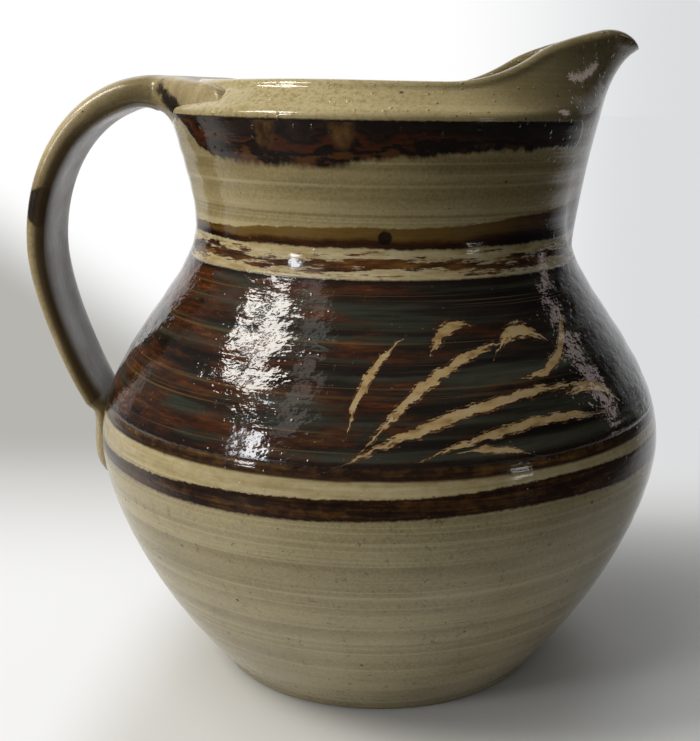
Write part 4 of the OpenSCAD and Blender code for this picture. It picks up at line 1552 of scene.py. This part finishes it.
@dataclass
class Studio:
    """Floor, backdrop, lamps and the camera at the photograph's viewing angle.

    The camera's place is in millimetres and its turns are in degrees; the spans over which the
    table and the backdrop change are in metres, or in shares of the distance from the camera.
    """

    image_w: int = 700
    image_h: int = 741
    focal_px: float = 1100.0
    sensor_w: float = 36.0
    middle_x_px: float = 430.0
    place: tuple[float, float, float] = (0.0, -431.9, 222.9)
    pitch: float = 14.18
    yaw: float = 2.53
    roll: float = 1.01
    table_hex: str = "#cfcfcc"
    table_half: float = 12.0
    backdrop_left: str = "#ffffff"
    backdrop_right: str = "#dcdddf"
    backdrop_painted_shade: str = "#b6b5b0"
    # Where the table behind the pot turns into the backdrop, and how far to the sides
    camera_y: float = 0.432
    backdrop_y: Span = (0.0, 0.30)
    backdrop_side: Span = (0.5, 0.9)
    # Where the backdrop turns grey on the right, on the table and in the world
    right_side: Span = (0.05, 0.24)
    right_way: Span = (0.04, 0.26)
    # Where painted shade darkens the backdrop on the left, and where a pool of window light is
    # painted on the table's corner
    backdrop_shade_at: float = 0.11
    backdrop_shade_side: Span = (-0.11, 0.05)
    lit_corner_at: Span = (0.14, 0.28)
    # Where the table fades all round, and where it is dark for the pot, in front and near it
    ring_r: Span = (0.35, 1.1)
    front_y: Span = (-0.12, -0.36)
    near_y: Span = (-0.10, -0.28)
    # Light of the room towards the window and away from it
    room_bright: float = 0.42
    room_dim: float = 0.07
    window_way: tuple[float, float, float] = (-0.8, -0.1, 0.55)
    lamps_at_z: float = 0.12
    panes: tuple[Pane, ...] = (
        Pane("window_left_pane", -84, 46, 0.18, 0.44, 19.0, tint="#fffaf2"),
        Pane("window_right_pane", -67, 46, 0.18, 0.44, 19.0, tint="#fffaf2"),
        Pane("window_low_pane", -52, 20, 0.13, 0.36, 20.0, tint="#fbfcff"),
        Pane("window_reveal", -42, 40, 0.16, 0.60, 1.4, tint="#e9e2e0"),
        Pane("skylight", -50, 66, 0.60, 0.60, 3.2, mirrored=False),
        Pane("far_window", 52, 5, 0.15, 0.10, 5.0, tint="#f2f6f0"),
        Pane("backdrop_bounce", 150, 55, 0.50, 0.50, 1.9, mirrored=False),
        Pane("reflector", 105, 18, 0.10, 0.40, 1.8, 1.0, "#f0dcd6"))

    def camera(self) -> bpy.types.Object:
        """The camera; the photograph is a crop, so its middle is shifted sideways."""
        data = bpy.data.cameras.new("photo_view")
        data.sensor_width = self.sensor_w
        data.lens = self.sensor_w * self.focal_px / self.image_h
        data.shift_x = (self.image_w / 2 - self.middle_x_px) / self.image_h
        data.clip_start, data.clip_end = 0.01, 100
        cam = bpy.data.objects.new("photo_view", data)
        bpy.context.scene.collection.objects.link(cam)
        psi, theta, rho = (math.radians(a) for a in (self.yaw, self.pitch, self.roll))
        right = Vector((math.cos(psi), -math.sin(psi), 0))
        ahead = Vector((math.sin(psi) * math.cos(theta), math.cos(psi) * math.cos(theta),
                        -math.sin(theta)))
        up = Vector((math.sin(psi) * math.sin(theta), math.cos(psi) * math.sin(theta),
                     math.cos(theta)))
        axes = (right * math.cos(rho) + up * math.sin(rho),
                up * math.cos(rho) - right * math.sin(rho), -ahead)
        cam.matrix_world = (Matrix.Translation(Vector(self.place) * MM)
                            @ Matrix(axes).transposed().to_4x4())
        bpy.context.scene.camera = cam
        return cam

    def floor(self) -> bpy.types.Object:
        """The pale table, which fades into an even backdrop far behind the pot."""
        bm = bmesh.new()
        bmesh.ops.create_grid(bm, x_segments=1, y_segments=1, size=self.table_half)
        mesh = bpy.data.meshes.new("table")
        bm.to_mesh(mesh)
        bm.free()
        table = bpy.data.objects.new("table", mesh)
        bpy.context.scene.collection.objects.link(table)
        mesh.materials.append(self.table_paint())
        return table

    def table_paint(self) -> bpy.types.Material:
        """Matt white paint; behind the pot the camera and reflections see a pale backdrop, and in
        front the table is painted black as painted shade for the light on the pot.
        """
        bench = Bench("matt_white_table")
        add, tree = bench.add, bench.tree
        bench.shader.inputs["Roughness"].default_value = 0.6
        place = add("TexCoord", out=3)
        x, y, _ = add("SeparateXYZ", (place,)).node.outputs
        away = add("Math", (y, self.camera_y), operation="ADD")
        side = add("Math", (x, away), operation="DIVIDE")
        # Behind the pot, from a hand's width on, the table turns into an even backdrop
        far = add("MapRange", (y, *self.backdrop_y, 0.0, 1.0), interpolation_type="SMOOTHERSTEP")
        straight = add("Math", (side,), operation="ABSOLUTE")
        straight = add("MapRange", (straight, *self.backdrop_side, 1.0, 0.0))
        right = add("MapRange", (side, *self.right_side, 0.0, 1.0), **SOFT)
        shade = add("Mix", {SHARE: right, UNDER: self.backdrop_left, OVER: self.backdrop_right},
                    MIXED, data_type="RGBA")
        # Painted shade: the backdrop goes grey on the left, for the camera and reflections
        backdrop_shade = add("Math", (y, 0.5, x), operation="MULTIPLY_ADD")
        backdrop_shade = add("Math", (backdrop_shade, -self.backdrop_shade_at), operation="ADD")
        backdrop_shade = add("Math", (backdrop_shade, away), operation="DIVIDE")
        backdrop_shade = add("MapRange", (backdrop_shade, *self.backdrop_shade_side, 1.0, 0.0), **SOFT)
        backdrop_shade = add("Math", (backdrop_shade, straight), operation="MULTIPLY")
        shade = add("Mix", {SHARE: backdrop_shade, UNDER: shade, OVER: self.backdrop_painted_shade}, MIXED,
                    data_type="RGBA")
        # A pool of window light is painted on the table's front left corner, seen by the camera
        # only
        corner = add("Math", (y, side), operation="SUBTRACT")
        corner = add("MapRange", (corner, *self.lit_corner_at, 0.0, 0.7), **SOFT)
        shade = add("Mix", {SHARE: far, UNDER: "#ffffff", OVER: shade}, MIXED, data_type="RGBA")
        camera, diffuse, glossy, through = self.rays(bench)
        seen = add("Math", (camera, glossy), operation="MAXIMUM")
        seen = add("Math", (seen, through), operation="MAXIMUM")
        far_share = add("Math", (far, seen), operation="MULTIPLY")
        corner = add("Math", (corner, camera), operation="MULTIPLY")
        share = add("Math", (far_share, corner), operation="MAXIMUM")
        share = add("Math", (share, straight), operation="MULTIPLY")
        # Seen from other sides, the table fades into the backdrop all round
        ring = add("VectorMath", (place,), 1, operation="LENGTH")
        ring = add("MapRange", (ring, *self.ring_r), interpolation_type="SMOOTHERSTEP")
        aside = add("Math", (1.0, straight), operation="SUBTRACT")
        ring = add("Math", (ring, aside), operation="MULTIPLY")
        ring = add("Math", (ring, camera), operation="MULTIPLY")
        share = add("Math", (share, ring), operation="MAXIMUM")
        both = add("MixShader", (share, bench.shader.outputs[0], add("Emission", (shade, 1.0))))
        tree.links.new(both, tree.nodes["Material Output"].inputs["Surface"])
        # In front and on the right, beyond the picture, the table is painted black for the light it
        # throws onto the pot: painted shade
        front = add("Math", (x, -0.8, y), operation="MULTIPLY_ADD")
        front = add("MapRange", (front, *self.front_y, 0.0, 0.9), **SOFT)
        lighting = add("Math", (diffuse, glossy), operation="MAXIMUM")
        front = add("Math", (front, lighting), operation="MULTIPLY")
        # and for the glaze's reflections of the table that lies nearest to the camera: painted
        # shade too
        near = add("Math", (x,), operation="ABSOLUTE")
        near = add("Math", (near, -0.3, y), operation="MULTIPLY_ADD")
        near = add("MapRange", (near, *self.near_y, 0.0, 0.92), **SOFT)
        near = add("Math", (near, glossy), operation="MULTIPLY")
        front = add("Math", (front, near), operation="MAXIMUM")
        paint = add("Mix", {SHARE: front, UNDER: self.table_hex, OVER: "#000000"}, MIXED,
                    data_type="RGBA")
        tree.links.new(paint, bench.shader.inputs["Base Color"])
        return bench.material

    @staticmethod
    def rays(bench: Bench) -> list[bpy.types.NodeSocket]:
        """Whether a ray comes from the camera, off a matt face, off a mirror or through glass."""
        path = bench.add("LightPath").node.outputs
        return [path[f"Is {kind} Ray"] for kind in ("Camera", "Diffuse", "Glossy", "Transmission")]

    def world(self) -> None:
        """Soft room light, brighter from the window's side, and the pale backdrop behind."""
        world = bpy.data.worlds.new("studio")
        bpy.context.scene.world = world
        world.use_nodes = True
        bench = Bench(tree=world.node_tree)
        add, tree = bench.add, bench.tree
        way = add("TexCoord")
        x, y, _ = add("SeparateXYZ", (way,)).node.outputs
        towards = add("VectorMath", (way, self.window_way), 1, operation="DOT_PRODUCT")
        level = add("MapRange", (towards, -0.5, 0.8, self.room_dim, self.room_bright))
        camera, _, glossy, through = self.rays(bench)
        dimmed = add("MapRange", (glossy, 0.0, 1.0, 1.0, 0.3))
        level = add("Math", (level, dimmed), operation="MULTIPLY")
        room = add("Background", ("#eef0f4", level))
        right = add("MapRange", (x, *self.right_way, 0.0, 1.0), **SOFT)
        shade = add("Mix", {SHARE: right, UNDER: self.backdrop_left, OVER: self.backdrop_right},
                    MIXED, data_type="RGBA")
        mirrored = add("Math", (glossy, through), operation="MAXIMUM")
        behind = add("MapRange", (y, 0.5, 0.8))
        mirrored = add("Math", (mirrored, behind), operation="MULTIPLY")
        seen = add("Math", (camera, mirrored), operation="MAXIMUM")
        pick = add("MixShader", (seen, room, add("Background", (shade, 1.0))))
        tree.links.new(pick, tree.nodes["World Output"].inputs[0])

    def lamp(self, pane: Pane) -> bpy.types.Object:
        """One pane of light, turned towards the middle of the pot."""
        data = bpy.data.lights.new(pane.name, "AREA")
        data.shape, data.size, data.size_y = "RECTANGLE", pane.wide, pane.tall
        data.energy = pane.glow * math.pi * pane.wide * pane.tall
        data.color = linear(pane.tint)[:3]
        lamp = bpy.data.objects.new(pane.name, data)
        bpy.context.scene.collection.objects.link(lamp)
        az, el = math.radians(pane.azimuth), math.radians(pane.elevation)
        way = Vector((math.sin(az) * math.cos(el), -math.cos(az) * math.cos(el), math.sin(el)))
        lamp.visible_glossy = pane.mirrored
        lamp.location = Vector((0, 0, self.lamps_at_z)) + way * pane.away
        lamp.rotation_mode = "QUATERNION"
        lamp.rotation_quaternion = way.to_track_quat("Z", "Y")
        return lamp

    def build(self) -> None:
        """Makes the whole stage."""
        self.camera()
        self.floor()
        self.world()
        for pane in self.panes:
            self.lamp(pane)


def main() -> None:
    """Builds the pitcher and its stage, and reports each piece."""
    logging.basicConfig(level=logging.INFO, format="%(name)s: %(message)s")
    bpy.context.scene.view_settings.view_transform = "Standard"
    Studio().build()
    wall = ThrownWall()
    skin = Skin(SpoutShape(wall))
    painted, strap = IronPaintedGlaze().build(), StrapGlaze().build()
    for part, finish, slot in ((ThrownBody(skin), painted, "body_glaze"),
                               (PouringSpout(skin), painted, "spout_glaze"),
                               (StrapHandle(wall), strap, "handle_glaze")):
        piece = part.build()
        piece.data.materials.append(finish)
        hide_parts(part.name)
        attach(piece, "root")
        log.info("%s: %d points, %d faces", piece.name, len(piece.data.vertices),
                 len(piece.data.polygons))


if __name__ == "__main__":
    main()
